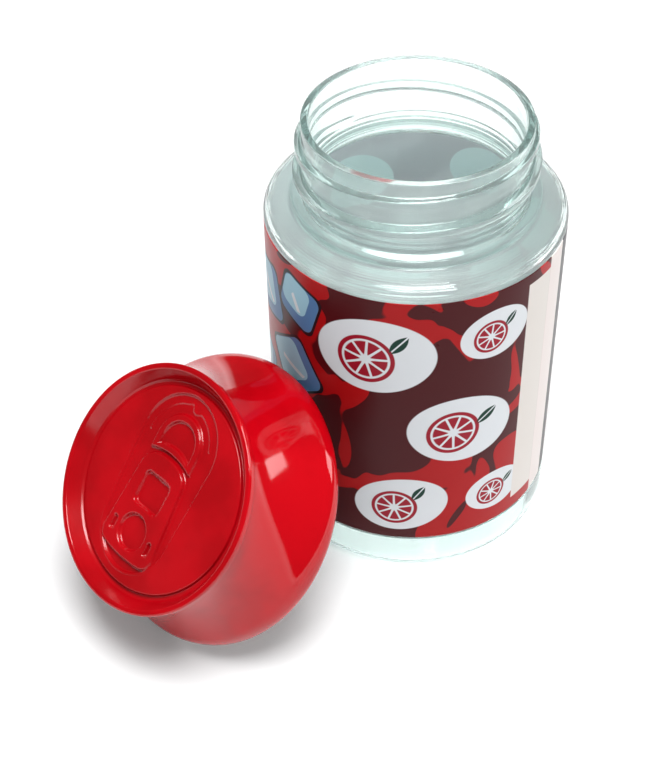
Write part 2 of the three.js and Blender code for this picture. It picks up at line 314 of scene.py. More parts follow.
class Nodes:
    """A node tree with short calls to add to it.

    Args:
        tree: The tree of a material, a world or a group.
    """

    def __init__(self, tree: bpy.types.NodeTree) -> None:
        """Keeps the tree that nodes are added to."""
        self.tree = tree

    def feed(self, node: bpy.types.Node, values: Inputs) -> None:
        """Gives inputs of a node their constants, or links where the value is an output.

        Args:
            node: The node.
            values: A number, a colour, a vector or an output by the input's name or number.
        """
        for name, value in values.items():
            if isinstance(value, Socket):
                self.tree.links.new(value, node.inputs[name])
            else:
                node.inputs[name].default_value = value

    def add(self, kind: str, values: Inputs | None = None, **settings: object) -> bpy.types.Node:
        """Adds a node.

        Args:
            kind: The node's type name.
            values: What its inputs get, as for feed.
            settings: Its properties by name.

        Returns:
            The new node.
        """
        node = self.tree.nodes.new(kind)
        for name, value in settings.items():
            setattr(node, name, value)
        self.feed(node, values or {})
        return node

    def object_place(self) -> Socket:
        """Object coordinates of the shaded point."""
        return self.add("ShaderNodeTexCoord").outputs["Object"]

    def math(self, operation: str, *values: Given, clamp: bool = False) -> Socket:
        """Adds a Math node on numbers or outputs and gives its output, held from 0 to 1 by clamp."""
        inputs = dict(enumerate(values))
        return self.add("ShaderNodeMath", inputs, operation=operation, use_clamp=clamp).outputs[0]

    def length(self, first: Given, second: Given) -> Socket:
        """Length of a vector of two parts."""
        square = self.math("MULTIPLY", first, first)
        return self.math("SQRT", self.math("MULTIPLY_ADD", second, second, square))

    def step(self, value: Given, low: float, high: float) -> Socket:
        """Eases from 0 at low to 1 at high.

        Args:
            value: The value to test.
            low: Where the result leaves 0.
            high: Where the result reaches 1. It may be the smaller of the two.

        Returns:
            The eased result.
        """
        spans = (low, high, 0.0, 1.0) if high > low else (high, low, 1.0, 0.0)
        names = ("From Min", "From Max", "To Min", "To Max")
        values = {"Value": value, **dict(zip(names, spans))}
        node = self.add("ShaderNodeMapRange", values, interpolation_type="SMOOTHSTEP")
        return node.outputs["Result"]

    def between(self, value: Socket, low: float, high: float, edge: float) -> Socket:
        """A mask that is 1 between two values, with soft edges of the given width."""
        rise = self.step(value, low - edge / 2, low + edge / 2)
        return self.math("MULTIPLY", rise, self.step(value, high + edge / 2, high - edge / 2))

    def mix(self, share: Given, first: Given, second: Given) -> Socket:
        """Mixes two colours, of which the second shows by the share."""
        return self.add("ShaderNodeMix", {0: share, 6: first, 7: second}, data_type="RGBA").outputs[2]

    def noise(self, vector: Socket, scale: Given, detail: float = 2.0, distortion: float = 0.0) -> Socket:
        """Value from 0 to 1 of a Noise Texture with this many waves per unit of the vector."""
        values = {"Vector": vector, "Scale": scale, "Detail": detail, "Distortion": distortion}
        return self.add("ShaderNodeTexNoise", values).outputs["Fac"]

    def bump(self, height: Socket, distance: float = 1.0) -> Socket:
        """Surface normal of a height, of which 1 stands for this distance in metres."""
        return self.add("ShaderNodeBump", {"Height": height, "Distance": distance}).outputs["Normal"]


def new_group(name: str, inputs: tuple[str, ...], outputs: tuple[str, ...]) -> Nodes:
    """Starts a shader group that takes and gives numbers.

    Args:
        name: The group's name.
        inputs: Name of each number that it takes.
        outputs: Name of each number that it gives.

    Returns:
        The group's nodes.
    """
    tree = bpy.data.node_groups.new(name, "ShaderNodeTree")
    for way, names in (("INPUT", inputs), ("OUTPUT", outputs)):
        for socket in names:
            tree.interface.new_socket(socket, in_out=way, socket_type="NodeSocketFloat")
    return Nodes(tree)


def new_material(name: str) -> tuple[bpy.types.Material, Nodes, bpy.types.Node]:
    """A material with an empty tree but for its shader and output.

    Args:
        name: The material's name.

    Returns:
        The material, its nodes and its Principled shader.
    """
    material = bpy.data.materials.new(name)
    material.use_nodes = True
    return material, Nodes(material.node_tree), material.node_tree.nodes["Principled BSDF"]


@dataclass(frozen=True)
class PlasticWear:
    """Values of the fine unevenness that a moulded plastic surface shows.

    Args:
        ripple_scale: Waves per metre of the slow ripple.
        ripple_depth: Height of that ripple.
        grain_scale: Waves per metre of the fine grain.
        grain_depth: Height of that grain.
        clean: Roughness of the clean surface.
        smudge: Extra roughness in the smudged patches.
    """

    ripple_scale: float
    ripple_depth: float
    grain_scale: float
    grain_depth: float
    clean: float
    smudge: float


class MouldedSurface:
    """Shader group: the slow ripple, fine grain and smudges of moulded plastic.

    It takes the fields of PlasticWear.
    """

    NAME = "moulded_surface"
    PATCH_SCALE = 45.0
    PATCH_DETAIL = 4.0
    PATCH_EDGE = (0.45, 0.75)

    @classmethod
    def group(cls) -> bpy.types.NodeTree:
        """The group, made when first asked for.

        Returns:
            Its node tree, with Height in metres and Roughness as outputs.
        """
        if cls.NAME in bpy.data.node_groups:
            return bpy.data.node_groups[cls.NAME]
        inputs = tuple(field.name for field in fields(PlasticWear))
        nodes = new_group(cls.NAME, inputs, ("Height", "Roughness"))
        given = nodes.add("NodeGroupInput").outputs
        place = nodes.object_place()
        ripple = nodes.noise(place, given["ripple_scale"])
        grain = nodes.noise(place, given["grain_scale"])
        slow = nodes.math("MULTIPLY", ripple, given["ripple_depth"])
        fine = nodes.math("MULTIPLY", grain, given["grain_depth"])
        patches = nodes.step(nodes.noise(place, cls.PATCH_SCALE, cls.PATCH_DETAIL), *cls.PATCH_EDGE)
        rough = nodes.math("MULTIPLY_ADD", patches, given["smudge"], given["clean"])
        nodes.add("NodeGroupOutput", {"Height": nodes.math("ADD", slow, fine), "Roughness": rough})
        return nodes.tree

    @classmethod
    def use(cls, nodes: Nodes, wear: PlasticWear) -> tuple[Socket, Socket]:
        """Places the group in a material and gives the surface normal and the roughness."""
        placed = nodes.add("ShaderNodeGroup", asdict(wear), node_tree=cls.group()).outputs
        return nodes.bump(placed["Height"]), placed["Roughness"]


@dataclass(frozen=True)
class RedPlastic:
    """Glossy red moulded plastic of the cap.

    Args:
        color: Colour of the plastic.
        deep: Colour where the pigment is thicker.
        bounce: Colour that it gives to the light that it scatters on.
        satin: Extra roughness of the face and the groove round it.
        ior: Index of refraction.
        cloud_scale: Waves per metre of the cloudy pigment.
        cloud_detail: Octaves of finer clouds.
        cloud_edge: Noise values between which the pigment gets thicker.
        wear: Unevenness of the surface.
    """

    color: Color = srgb(198, 4, 19)
    deep: Color = srgb(174, 2, 13)
    bounce: Color = srgb(96, 52, 50)
    satin: float = 0.13
    ior: float = 1.5
    cloud_scale: float = 60.0
    cloud_detail: float = 3.0
    cloud_edge: Point = (0.35, 0.7)
    wear: PlasticWear = PlasticWear(60.0, 2.0e-5, 1700.0, 2.0e-6, 0.055, 0.06)

    def make(self) -> bpy.types.Material:
        """Builds the material.

        Returns:
            The finished material.
        """
        material, nodes, shader = new_material("red_plastic")
        cloud = nodes.noise(nodes.object_place(), self.cloud_scale, self.cloud_detail)
        pigment = nodes.mix(nodes.step(cloud, *self.cloud_edge), self.color, self.deep)
        scattered = nodes.add("ShaderNodeLightPath").outputs["Is Diffuse Ray"]
        normal, rough = MouldedSurface.use(nodes, self.wear)
        face = nodes.add("ShaderNodeAttribute", attribute_name=SATIN).outputs["Fac"]
        finish = {
            "Base Color": nodes.mix(scattered, pigment, self.bounce),
            "Normal": normal,
            "Roughness": nodes.math("MULTIPLY_ADD", face, self.satin, rough),
            "IOR": self.ior,
        }
        nodes.feed(shader, finish)
        return material


@dataclass(frozen=True)
class ClearPlastic:
    """Clear blow-moulded plastic of the jar.

    Args:
        color: Tint of the light that passes.
        tint: Colour that thick edges take.
        density: How fast the tint grows with depth, per metre.
        haze: Share of the light that the plastic scatters.
        straight: Share of the light that passes a thin wall unbent.
        passed: Colour of the light that passes unbent.
        ior: Index of refraction.
        wear: Unevenness of the surface.
    """

    color: Color = srgb(250, 254, 253)
    tint: Color = (0.4, 0.64, 0.6, 1.0)
    density: float = 85.0
    haze: float = 0.08
    straight: float = 0.07
    passed: Color = srgb(250, 252, 252)
    ior: float = 1.45
    wear: PlasticWear = PlasticWear(55.0, 6.0e-5, 900.0, 1.0e-6, 0.015, 0.02)

    def make(self) -> bpy.types.Material:
        """Builds the material.

        Returns:
            The finished material, which lets shadow rays through.
        """
        material, nodes, shader = new_material("clear_plastic")
        normal, rough = MouldedSurface.use(nodes, self.wear)
        finish = {
            "Base Color": self.color,
            "Transmission Weight": 1.0 - self.haze,
            "Normal": normal,
            "Roughness": rough,
            "IOR": self.ior,
        }
        nodes.feed(shader, finish)
        shadow = nodes.add("ShaderNodeLightPath").outputs["Is Shadow Ray"]
        share = nodes.math("MAXIMUM", shadow, self.straight)
        passing = nodes.add("ShaderNodeBsdfTransparent", {"Color": self.passed}).outputs[0]
        either = nodes.add("ShaderNodeMixShader", {0: share, 1: shader.outputs[0], 2: passing})
        soak = nodes.add("ShaderNodeVolumeAbsorption", {"Color": self.tint, "Density": self.density})
        ends = {"Surface": either.outputs[0], "Volume": soak.outputs[0]}
        nodes.feed(nodes.tree.nodes["Material Output"], ends)
        return material


@dataclass(frozen=True)
class Foam:
    """White closed-cell foam of the sealing liner.

    Args:
        color: Colour of the foam.
        shade: Share of that colour that is left between the cells.
        roughness: Roughness of the foam.
        cell_scale: Cells per metre.
        cell_depth: Depth of the cells.
        cell_edge: Distances from a cell's middle between which it gets darker.
    """

    color: Color = srgb(238, 236, 230)
    shade: float = 0.86
    roughness: float = 0.75
    cell_scale: float = 2600.0
    cell_depth: float = 6.0e-5
    cell_edge: Point = (0.1, 0.9)

    def make(self) -> bpy.types.Material:
        """Builds the material.

        Returns:
            The finished material.
        """
        material, nodes, shader = new_material("liner_foam")
        spread = {"Vector": nodes.object_place(), "Scale": self.cell_scale}
        voronoi = nodes.add("ShaderNodeTexVoronoi", spread, feature="SMOOTH_F1")
        cells = voronoi.outputs["Distance"]
        darker = tuple(c * self.shade for c in self.color[:3]) + (1.0,)
        finish = {
            "Base Color": nodes.mix(nodes.step(cells, *self.cell_edge), self.color, darker),
            "Normal": nodes.bump(cells, self.cell_depth),
            "Roughness": self.roughness,
        }
        nodes.feed(shader, finish)
        return material


@dataclass(frozen=True)
class Spot:
    """Place and size of one motif on the rolled-flat label.

    Args:
        bearing: Bearing of its centre in degrees.
        above: Height of its centre above the label's lower edge in millimetres.
        width: Its width in millimetres.
        height: Its height in millimetres.
        turn: How far it is turned, in degrees.
    """

    bearing: float
    above: float
    width: float
    height: float
    turn: float = 0.0


@dataclass(frozen=True)
class Flat:
    """Where a shaded point lies on the rolled-flat label.

    Args:
        bearing: Its bearing round the jar in degrees.
        above: Its height above the label's lower edge in millimetres.
        place: Its millimetres from the jar's axis, for patterns with no seam.
        per_degree: Millimetres round the label in one degree.
    """

    bearing: Socket
    above: Socket
    place: Socket
    per_degree: float


class Motif:
    """Shader group that draws one motif of the label as masks.

    It takes the bearing and height of the shaded point, a Spot's fields and the millimetres in one
    degree. Each output is the mask of one ink.
    """

    NAME = "motif"
    INPUTS = ("point_bearing", "point_above", *(part.name for part in fields(Spot)), "per_degree")
    INKS: tuple[str, ...] = ()

    def group(self) -> bpy.types.NodeTree:
        """The group, made when first asked for.

        Returns:
            Its node tree.
        """
        if self.NAME in bpy.data.node_groups:
            return bpy.data.node_groups[self.NAME]
        nodes = new_group(self.NAME, self.INPUTS, self.INKS)
        given = nodes.add("NodeGroupInput").outputs
        apart = nodes.math("SUBTRACT", given["point_bearing"], given["bearing"])
        apart = nodes.math("WRAP", apart, 180.0, -180.0)
        x = nodes.math("MULTIPLY", apart, given["per_degree"])
        y = nodes.math("SUBTRACT", given["point_above"], given["above"])
        turn = nodes.math("RADIANS", given["turn"])
        cosine, sine = nodes.math("COSINE", turn), nodes.math("SINE", turn)
        across = nodes.math("ADD", nodes.math("MULTIPLY", x, cosine), nodes.math("MULTIPLY", y, sine))
        x_back, y_along = nodes.math("MULTIPLY", x, sine), nodes.math("MULTIPLY", y, cosine)
        along = nodes.math("SUBTRACT", y_along, x_back)
        masks = self.draw(nodes, across, along, given["width"], given["height"])
        nodes.add("NodeGroupOutput", dict(zip(self.INKS, masks)))
        return nodes.tree

    def draw(self, nodes: Nodes, x: Socket, y: Socket, width: Socket, height: Socket) -> list[Socket]:
        """Draws the motif about its own centre.

        Args:
            nodes: The group's nodes.
            x: Distance across it in millimetres.
            y: Distance up it in millimetres.
            width: Its width.
            height: Its height.

        Returns:
            The mask of each ink.
        """
        raise NotImplementedError

    def stamp(self, nodes: Nodes, flat: Flat, spots: tuple[Spot, ...]) -> list[Socket]:
        """Draws the motif at every spot.

        Args:
            nodes: The material's nodes.
            flat: Where the shaded point is.
            spots: Where the motif goes.

        Returns:
            The mask of each ink, over all the spots.
        """
        whole: list[Given] = [0.0] * len(self.INKS)
        for spot in spots:
            point = {"point_bearing": flat.bearing, "point_above": flat.above}
            values = {**point, **asdict(spot), "per_degree": flat.per_degree}
            placed = nodes.add("ShaderNodeGroup", values, node_tree=self.group())
            masks = [placed.outputs[ink] for ink in self.INKS]
            whole = [nodes.math("MAXIMUM", old, new) for old, new in zip(whole, masks)]
        return whole


class FruitDisc(Motif):
    """A pale oval with a round fruit slice and a leaf, drawn for an oval 20 mm high."""

    NAME = "fruit_disc"
    INKS = ("Oval", "Fruit", "Leaf")
    DRAWN_HEIGHT = 20.0
    OVAL_EDGE = (1.0, 0.975)
    SLICE_CENTRE = (-2.0, -0.8)
    SEGMENTS = 9
    SEGMENT_EDGE = (1.0, 1.5)
    FLESH_EDGE = (5.0, 4.7)
    RIND_INSIDE = (5.3, 5.5)
    RIND_OUTSIDE = (6.5, 6.3)
    LEAF_CENTRE = (5.6, 3.4)
    LEAF_HALF = 1.5
    LEAF_TAPER = -0.13
    LEAF_EDGE = (0.0, 0.2)
    VEIN_EDGE = (0.1, 0.25)
    DIAGONAL = 0.71

    def draw(self, nodes: Nodes, x: Socket, y: Socket, width: Socket, height: Socket) -> list[Socket]:
        """Draws the oval, the slice with its rind and segments, and the leaf.

        Args:
            nodes: The group's nodes.
            x: Distance across it in millimetres.
            y: Distance up it in millimetres.
            width: Its width.
            height: Its height.

        Returns:
            The masks of the oval, the fruit and the leaf.
        """
        part_x = nodes.math("DIVIDE", nodes.math("MULTIPLY", x, 2.0), width)
        part_y = nodes.math("DIVIDE", nodes.math("MULTIPLY", y, 2.0), height)
        oval = nodes.step(nodes.length(part_x, part_y), *self.OVAL_EDGE)
        size = nodes.math("DIVIDE", height, self.DRAWN_HEIGHT)
        x, y = nodes.math("DIVIDE", x, size), nodes.math("DIVIDE", y, size)

        slice_x, slice_y = (nodes.math("SUBTRACT", *pair) for pair in zip((x, y), self.SLICE_CENTRE))
        reach = nodes.length(slice_x, slice_y)
        around = nodes.math("ARCTAN2", slice_y, slice_x)
        wave = nodes.math("SINE", nodes.math("MULTIPLY", around, self.SEGMENTS / 2))
        gap = nodes.math("MULTIPLY", nodes.math("ABSOLUTE", wave), reach)
        segment, core = nodes.step(gap, *self.SEGMENT_EDGE), nodes.step(reach, *self.FLESH_EDGE)
        flesh = nodes.math("MULTIPLY", segment, core)
        outer, inner = nodes.step(reach, *self.RIND_OUTSIDE), nodes.step(reach, *self.RIND_INSIDE)
        rind = nodes.math("MULTIPLY", inner, outer)
        fruit = nodes.math("MULTIPLY", nodes.math("MAXIMUM", flesh, rind), oval)

        leaf_x, leaf_y = (nodes.math("SUBTRACT", *pair) for pair in zip((x, y), self.LEAF_CENTRE))
        lengthwise = nodes.math("MULTIPLY", nodes.math("ADD", leaf_x, leaf_y), self.DIAGONAL)
        sideways = nodes.math("MULTIPLY", nodes.math("SUBTRACT", leaf_y, leaf_x), self.DIAGONAL)
        sideways = nodes.math("ABSOLUTE", sideways)
        square = nodes.math("MULTIPLY", lengthwise, lengthwise)
        half = nodes.math("MULTIPLY_ADD", square, self.LEAF_TAPER, self.LEAF_HALF)
        blade = nodes.step(nodes.math("SUBTRACT", half, sideways), *self.LEAF_EDGE)
        leaf = nodes.math("MULTIPLY", blade, nodes.step(sideways, *self.VEIN_EDGE))
        return [oval, fruit, nodes.math("MULTIPLY", leaf, oval)]


class IceCube(Motif):
    """A rounded block of ice with a dark outline, a shaded side and a glint, in millimetres."""

    NAME = "ice_cube"
    INKS = ("Outline", "Body", "Shade", "Glint")
    ROUND = 2.2
    SOFT = 0.15
    OUTLINE = 0.7
    LIGHT_SHIFT = 1.3
    LIT_INSET = 1.4
    GLINT_INSET = 3.2
    GLINT_SHIFT = 1.0
    GLINT_EDGE = (0.9, 0.7)

    def draw(self, nodes: Nodes, x: Socket, y: Socket, width: Socket, height: Socket) -> list[Socket]:
        """Draws the block's outline, body, shaded side and glint.

        Args:
            nodes: The group's nodes.
            x: Distance across it in millimetres.
            y: Distance up it in millimetres.
            width: Its width.
            height: Its height.

        Returns:
            The masks of the outline, the body, the shaded side and the glint.
        """

        def block(across: Socket, along: Socket, inset: float) -> Socket:
            """Mask of a rounded block.

            Args:
                across: Distance across it.
                along: Distance up it.
                inset: How much smaller than the body it is on each side.

            Returns:
                The mask.
            """
            edges = []
            for way, size in ((across, width), (along, height)):
                edge = nodes.math("MULTIPLY_ADD", size, -0.5, nodes.math("ABSOLUTE", way))
                edges.append(nodes.math("ADD", edge, self.ROUND + inset))
            outer = nodes.length(*(nodes.math("MAXIMUM", edge, 0.0) for edge in edges))
            inner = nodes.math("MINIMUM", nodes.math("MAXIMUM", *edges), 0.0)
            distance = nodes.math("SUBTRACT", nodes.math("ADD", outer, inner), self.ROUND)
            return nodes.step(distance, self.SOFT, 0.0)

        outline, body = block(x, y, -self.OUTLINE), block(x, y, 0.0)
        lit_x = nodes.math("ADD", x, self.LIGHT_SHIFT)
        lit_y = nodes.math("SUBTRACT", y, self.LIGHT_SHIFT)
        unlit = nodes.math("SUBTRACT", 1.0, block(lit_x, lit_y, self.LIT_INSET))
        slant = nodes.math("ADD", nodes.math("ADD", x, y), self.GLINT_SHIFT)
        stripe = nodes.step(nodes.math("ABSOLUTE", slant), *self.GLINT_EDGE)
        glint = nodes.math("MULTIPLY", stripe, block(x, y, self.GLINT_INSET))
        return [outline, body, nodes.math("MULTIPLY", body, unlit), glint]


@dataclass(frozen=True)
class LabelPrint:
    """Printed front of the wrap label, drawn on bearing and height round the jar.

    Args:
        axis: X and Y of the jar's axis.
        radius: Radius of the label.
        low: Height of its lower edge.
        maroon: Ground colour.
        brick: Colour of the flame-like patches.
        border: Colour of the strip beside the bare panel.
        panel_across: Bearings of the panel's sides in degrees.
        panel_up: Heights of its ends above the label's lower edge in millimetres.
        edge_up: Millimetres over which the panel's ends fade.
        edge_across: Degrees over which the strips' sides fade.
        patch_warp: How much the patches are drawn out.
        patch_edge: Noise values between which the brick red sets in.
        wave_share: Height of the film's slow waves against its fine grain.
        grain_depth: Height of the grain in metres.
    """

    axis: Point
    radius: float
    low: float
    maroon: Color = srgb(74, 10, 16)
    brick: Color = srgb(176, 14, 18)
    pale: Color = srgb(228, 232, 236)
    fruit: Color = srgb(158, 18, 40)
    leaf: Color = srgb(14, 58, 46)
    ice: Color = srgb(164, 208, 226)
    ice_shade: Color = srgb(84, 128, 176)
    panel: Color = srgb(228, 222, 216)
    border: Color = srgb(236, 226, 222)
    ink: Color = srgb(18, 20, 26)
    panel_across: Point = (-47.5, -34.0)
    panel_up: Point = (3.5, 67.5)
    border_end: float = -22.5
    line_end: float = -12.0
    edge_up: float = 0.2
    edge_across: float = 0.3
    patch_scale: float = 0.05
    patch_detail: float = 1.2
    patch_warp: float = 1.3
    patch_edge: Point = (0.505, 0.517)
    wave_scale: float = 0.09
    wave_share: float = 14.0
    grain_scale: float = 2.5
    grain_detail: float = 3.0
    grain_depth: float = 4.0e-6
    clean: float = 0.24
    smudge: float = 0.14
    smudge_scale: float = 0.2
    smudge_detail: float = 3.0
    specular: float = 0.15
    discs: tuple[Spot, ...] = (
        Spot(-108.0, 55.0, 27.0, 20.0, 6.0),
        Spot(-74.0, 33.5, 25.0, 19.0, -8.0),
        Spot(-97.0, 11.0, 22.0, 16.5, 12.0),
        Spot(-62.0, 59.0, 17.0, 13.0, 4.0),
        Spot(-57.0, 10.5, 16.0, 12.0, -6.0),
        Spot(16.0, 51.0, 26.0, 20.0, 8.0),
        Spot(8.0, 15.0, 18.0, 14.0, -10.0),
        Spot(38.0, 33.0, 28.0, 21.0, 5.0),
        Spot(57.0, 60.0, 17.0, 13.0, -6.0),
        Spot(100.0, 21.0, 26.0, 20.0, -7.0),
        Spot(112.0, 56.0, 20.0, 15.0, 9.0),
        Spot(148.0, 36.0, 27.0, 20.0, 3.0),
        Spot(172.0, 11.0, 18.0, 13.0, -5.0),
    )
    cubes: tuple[Spot, ...] = (
        Spot(-166.0, 56.0, 13.0, 13.0, 14.0),
        Spot(-142.0, 61.0, 11.0, 11.0, -18.0),
        Spot(-146.0, 42.0, 14.0, 13.0, 33.0),
        Spot(-172.0, 33.0, 10.0, 10.0, -8.0),
        Spot(176.0, 62.0, 9.0, 9.0, 26.0),
    )

    def flat(self, nodes: Nodes) -> Flat:
        """Where the shaded point lies on the rolled-flat label.

        Args:
            nodes: The material's nodes.

        Returns:
            Its place.
        """
        place = nodes.object_place()
        split = nodes.add("ShaderNodeSeparateXYZ", {0: place}).outputs
        x, y, z = (nodes.math("SUBTRACT", *pair) for pair in zip(split, (*self.axis, self.low)))
        moved = {
            "Vector": place,
            "Scale": (1 / MM, 1 / MM, 1 / MM),
            "Location": (-self.axis[0] / MM, -self.axis[1] / MM, 0.0),
        }
        return Flat(
            bearing=nodes.math("DEGREES", nodes.math("ARCTAN2", y, x)),
            above=nodes.math("MULTIPLY", z, 1 / MM),
            place=nodes.add("ShaderNodeMapping", moved).outputs[0],
            per_degree=math.radians(1) * self.radius / MM,
        )

    def ink_over(self, nodes: Nodes, flat: Flat) -> Socket:
        """Colour of the whole print.

        Args:
            nodes: The material's nodes.
            flat: Where the shaded point is.

        Returns:
            The ground with every motif and strip over it in turn.
        """
        patches = nodes.noise(flat.place, self.patch_scale, self.patch_detail, self.patch_warp)
        cube_inks = (self.ink, self.ice, self.ice_shade, self.pale)
        disc_inks = (self.pale, self.fruit, self.leaf)
        end = nodes.between(flat.above, *self.panel_up, self.edge_up)
        side = nodes.between(flat.bearing, *self.panel_across, self.edge_across)
        strips = ((self.panel_across[1], self.border_end), (self.border_end, self.line_end))
        layers = [
            (nodes.step(patches, *self.patch_edge), self.brick),
            *zip(IceCube().stamp(nodes, flat, self.cubes), cube_inks),
            *zip(FruitDisc().stamp(nodes, flat, self.discs), disc_inks),
            (nodes.math("MULTIPLY", side, end), self.panel),
        ]
        for sides, color in zip(strips, (self.border, self.ink)):
            layers.append((nodes.between(flat.bearing, *sides, self.edge_across), color))
        whole: Given = self.maroon
        for mask, color in layers:
            whole = nodes.mix(mask, whole, color)
        return whole

    def make(self) -> bpy.types.Material:
        """Builds the material.

        Returns:
            The finished material.
        """
        material, nodes, shader = new_material("label_print")
        flat = self.flat(nodes)
        grain = nodes.noise(flat.place, self.grain_scale, self.grain_detail)
        wave = nodes.noise(flat.place, self.wave_scale)
        height = nodes.math("MULTIPLY_ADD", wave, self.wave_share, grain)
        smudge = nodes.noise(flat.place, self.smudge_scale, self.smudge_detail)
        finish = {
            "Base Color": self.ink_over(nodes, flat),
            "Normal": nodes.bump(height, self.grain_depth),
            "Roughness": nodes.math("MULTIPLY_ADD", smudge, self.smudge, self.clean),
            "Specular IOR Level": self.specular,
        }
        nodes.feed(shader, finish)
        return material


@dataclass(frozen=True)
class LabelBack:
    """Unprinted white back of the label, seen through the jar, where the print shows faintly.

    Args:
        front: The print on the other side.
        color: Colour of the film's back.
        shadow: Colour where dark print shows through.
        pale: Colour where the pale ovals show through.
        ghost_edge: Noise values between which the dark print shows.
    """

    front: LabelPrint
    color: Color = srgb(220, 208, 214)
    shadow: Color = srgb(194, 182, 189)
    pale: Color = srgb(224, 230, 232)
    ghost_edge: Point = (0.46, 0.56)
    clean: float = 0.4
    smudge: float = 0.1
    smudge_scale: float = 0.3

    def make(self) -> bpy.types.Material:
        """Builds the material.

        Returns:
            The finished material.
        """
        material, nodes, shader = new_material("label_back")
        front = self.front
        flat = front.flat(nodes)
        ghost = nodes.noise(flat.place, front.patch_scale, front.patch_detail)
        colour = nodes.mix(nodes.step(ghost, *self.ghost_edge), self.color, self.shadow)
        oval = FruitDisc().stamp(nodes, flat, front.discs)[0]
        smudge = nodes.noise(flat.place, self.smudge_scale)
        finish = {
            "Base Color": nodes.mix(oval, colour, self.pale),
            "Roughness": nodes.math("MULTIPLY_ADD", smudge, self.smudge, self.clean),
        }
        nodes.feed(shader, finish)
        return material


@dataclass(frozen=True)
class Jar:
    """The clear screw-top jar.

    Args:
        axis: X and Y of its axis.
        dome_fullness: Power that makes the pushed-up base's dome full.
        dome_foot: Share of the dome's radius where it turns into the ring, and the height there.
        foot_slope: Width and height of the slope from the standing ring to the wall.
        ledge_near: Distance from the label's edge to the foot of the panel's ledge.
        ledge_far: Distance from the label's edge to the head of the ledge.
        shoulder_fullness: How far the shoulder is filled out above its slopes.
        ring_spacing: Distance between the faint rings that the mould leaves on the shoulder.
        foot_rings: Heights of the two rings at the neck's foot.
        neck_root: Height of the neck's foot above the bead, and its rounding.
        bore_foot: Height above the bead's lower edge where the bore widens, and its rounding.
        bore_flare: How much it widens, and the rounding there.
        hollow_foot: Height of the inside's lowest corner, and its rounding.
        hollow_ring: Height over the base's wall of the hollow of the ring, and its rounding.
        hollow_dome: Share of the dome's radius where the hollow ends, and the height there.
        thread_zone: Height above the bead and depth under the rim where nothing is raised.
        seam_bearing: Bearing of the mould's parting line in degrees.
        sharp: Edges that turn by more than this many degrees stay sharp.
    """

    axis: Point
    sides: int = 224
    body_radius: float = 33.0 * MM
    wall: float = 0.9 * MM
    base_wall: float = 1.2 * MM
    ring_radius: float = 31.3 * MM
    ring_width: float = 1.6 * MM
    ring_round: float = 0.6 * MM
    ring_lead: float = 0.2 * MM
    push_up: float = 4.0 * MM
    dome_fullness: float = 1.8
    dome_steps: int = 12
    dome_foot: Point = (0.97, 0.35 * MM)
    foot_slope: Point = (1.7 * MM, 2.4 * MM)
    foot_round: float = 2.2 * MM
    label_low: float = 10.9 * MM
    label_top: float = 81.0 * MM
    label_step: float = 0.3 * MM
    ledge_near: float = 0.25 * MM
    ledge_far: float = 0.5 * MM
    ledge_rounds: Point = (0.1 * MM, 0.15 * MM)
    shoulder_start: float = 0.7 * MM
    shoulder_top: float = 84.3 * MM
    shoulder_rise: float = 0.7 * MM
    shoulder_round: float = 1.98 * MM
    shoulder_fullness: float = 0.35 * MM
    shoulder_steps: int = 60
    ring_spacing: float = 0.6 * MM
    ring_rise: float = 0.02 * MM
    foot_rings: Point = (88.6 * MM, 90.1 * MM)
    foot_ring_rise: float = 0.16 * MM
    foot_ring_half: float = 0.55 * MM
    neck_radius: float = 24.4 * MM
    neck_draft: float = 0.15 * MM
    neck_wall: float = 1.7 * MM
    neck_top: float = 104.2 * MM
    neck_start: float = 1.0 * MM
    neck_root: Point = (0.15 * MM, 0.7 * MM)
    rim_depth: float = 0.6 * MM
    rim_round: float = 0.5 * MM
    bead_radius: float = 27.1 * MM
    bead_low: float = 85.4 * MM
    bead_height: float = 1.8 * MM
    bead_gap: float = 0.5 * MM
    bead_cut: float = 0.3 * MM
    bead_rounds: Corner = (0.2 * MM, 0.4 * MM, 0.7 * MM)
    bore_foot: Point = (1.4 * MM, 1.5 * MM)
    bore_flare: Point = (1.6 * MM, 1.0 * MM)
    hollow_foot: Point = (1.7 * MM, 2.4 * MM)
    hollow_ring: Point = (0.1 * MM, 1.2 * MM)
    hollow_dome: Point = (0.95, 0.7 * MM)
    thread_zone: Point = (0.9 * MM, 0.3 * MM)
    row: float = 0.12 * MM
    corner_steps: int = 6
    rim_steps: int = 5
    seam_bearing: float = 109.0
    seam_height: float = 0.12 * MM
    seam_width: float = 0.35 * MM
    sharp: float = 50.0

    @property
    def dome_radius(self) -> float:
        """Radius of the pushed-up base's dome."""
        return self.ring_radius - self.ring_width

    @property
    def bead_top(self) -> float:
        """Height of the bead's upper edge."""
        return self.bead_low + self.bead_height

    @property
    def rim_middle(self) -> float:
        """Radius of the middle of the rim's flat top."""
        return self.neck_radius - self.neck_wall / 2

    def thread(self) -> Helix:
        """The neck's thread ridge.

        Returns:
            The ridge, which stands outwards.
        """
        return Helix(
            pitch=THREAD_PITCH,
            turns=1.75,
            top=self.neck_top - 2.0 * MM,
            top_angle=27.0,
            crest_top=25.3 * MM,
            crest_low=26.4 * MM,
            crest_width=1.3 * MM,
            root_width=2.7 * MM,
        )

    def dome(self, floor: float) -> list[Point]:
        """Profile of the pushed-up base from its middle out.

        Args:
            floor: Height of the face's lowest part.

        Returns:
            Radius and height of each point.
        """
        made = []
        for k in range(self.dome_steps):
            share = k / self.dome_steps
            rise = math.cos(math.pi / 2 * share**self.dome_fullness)
            made.append((self.dome_radius * share, floor + self.push_up * rise))
        return made

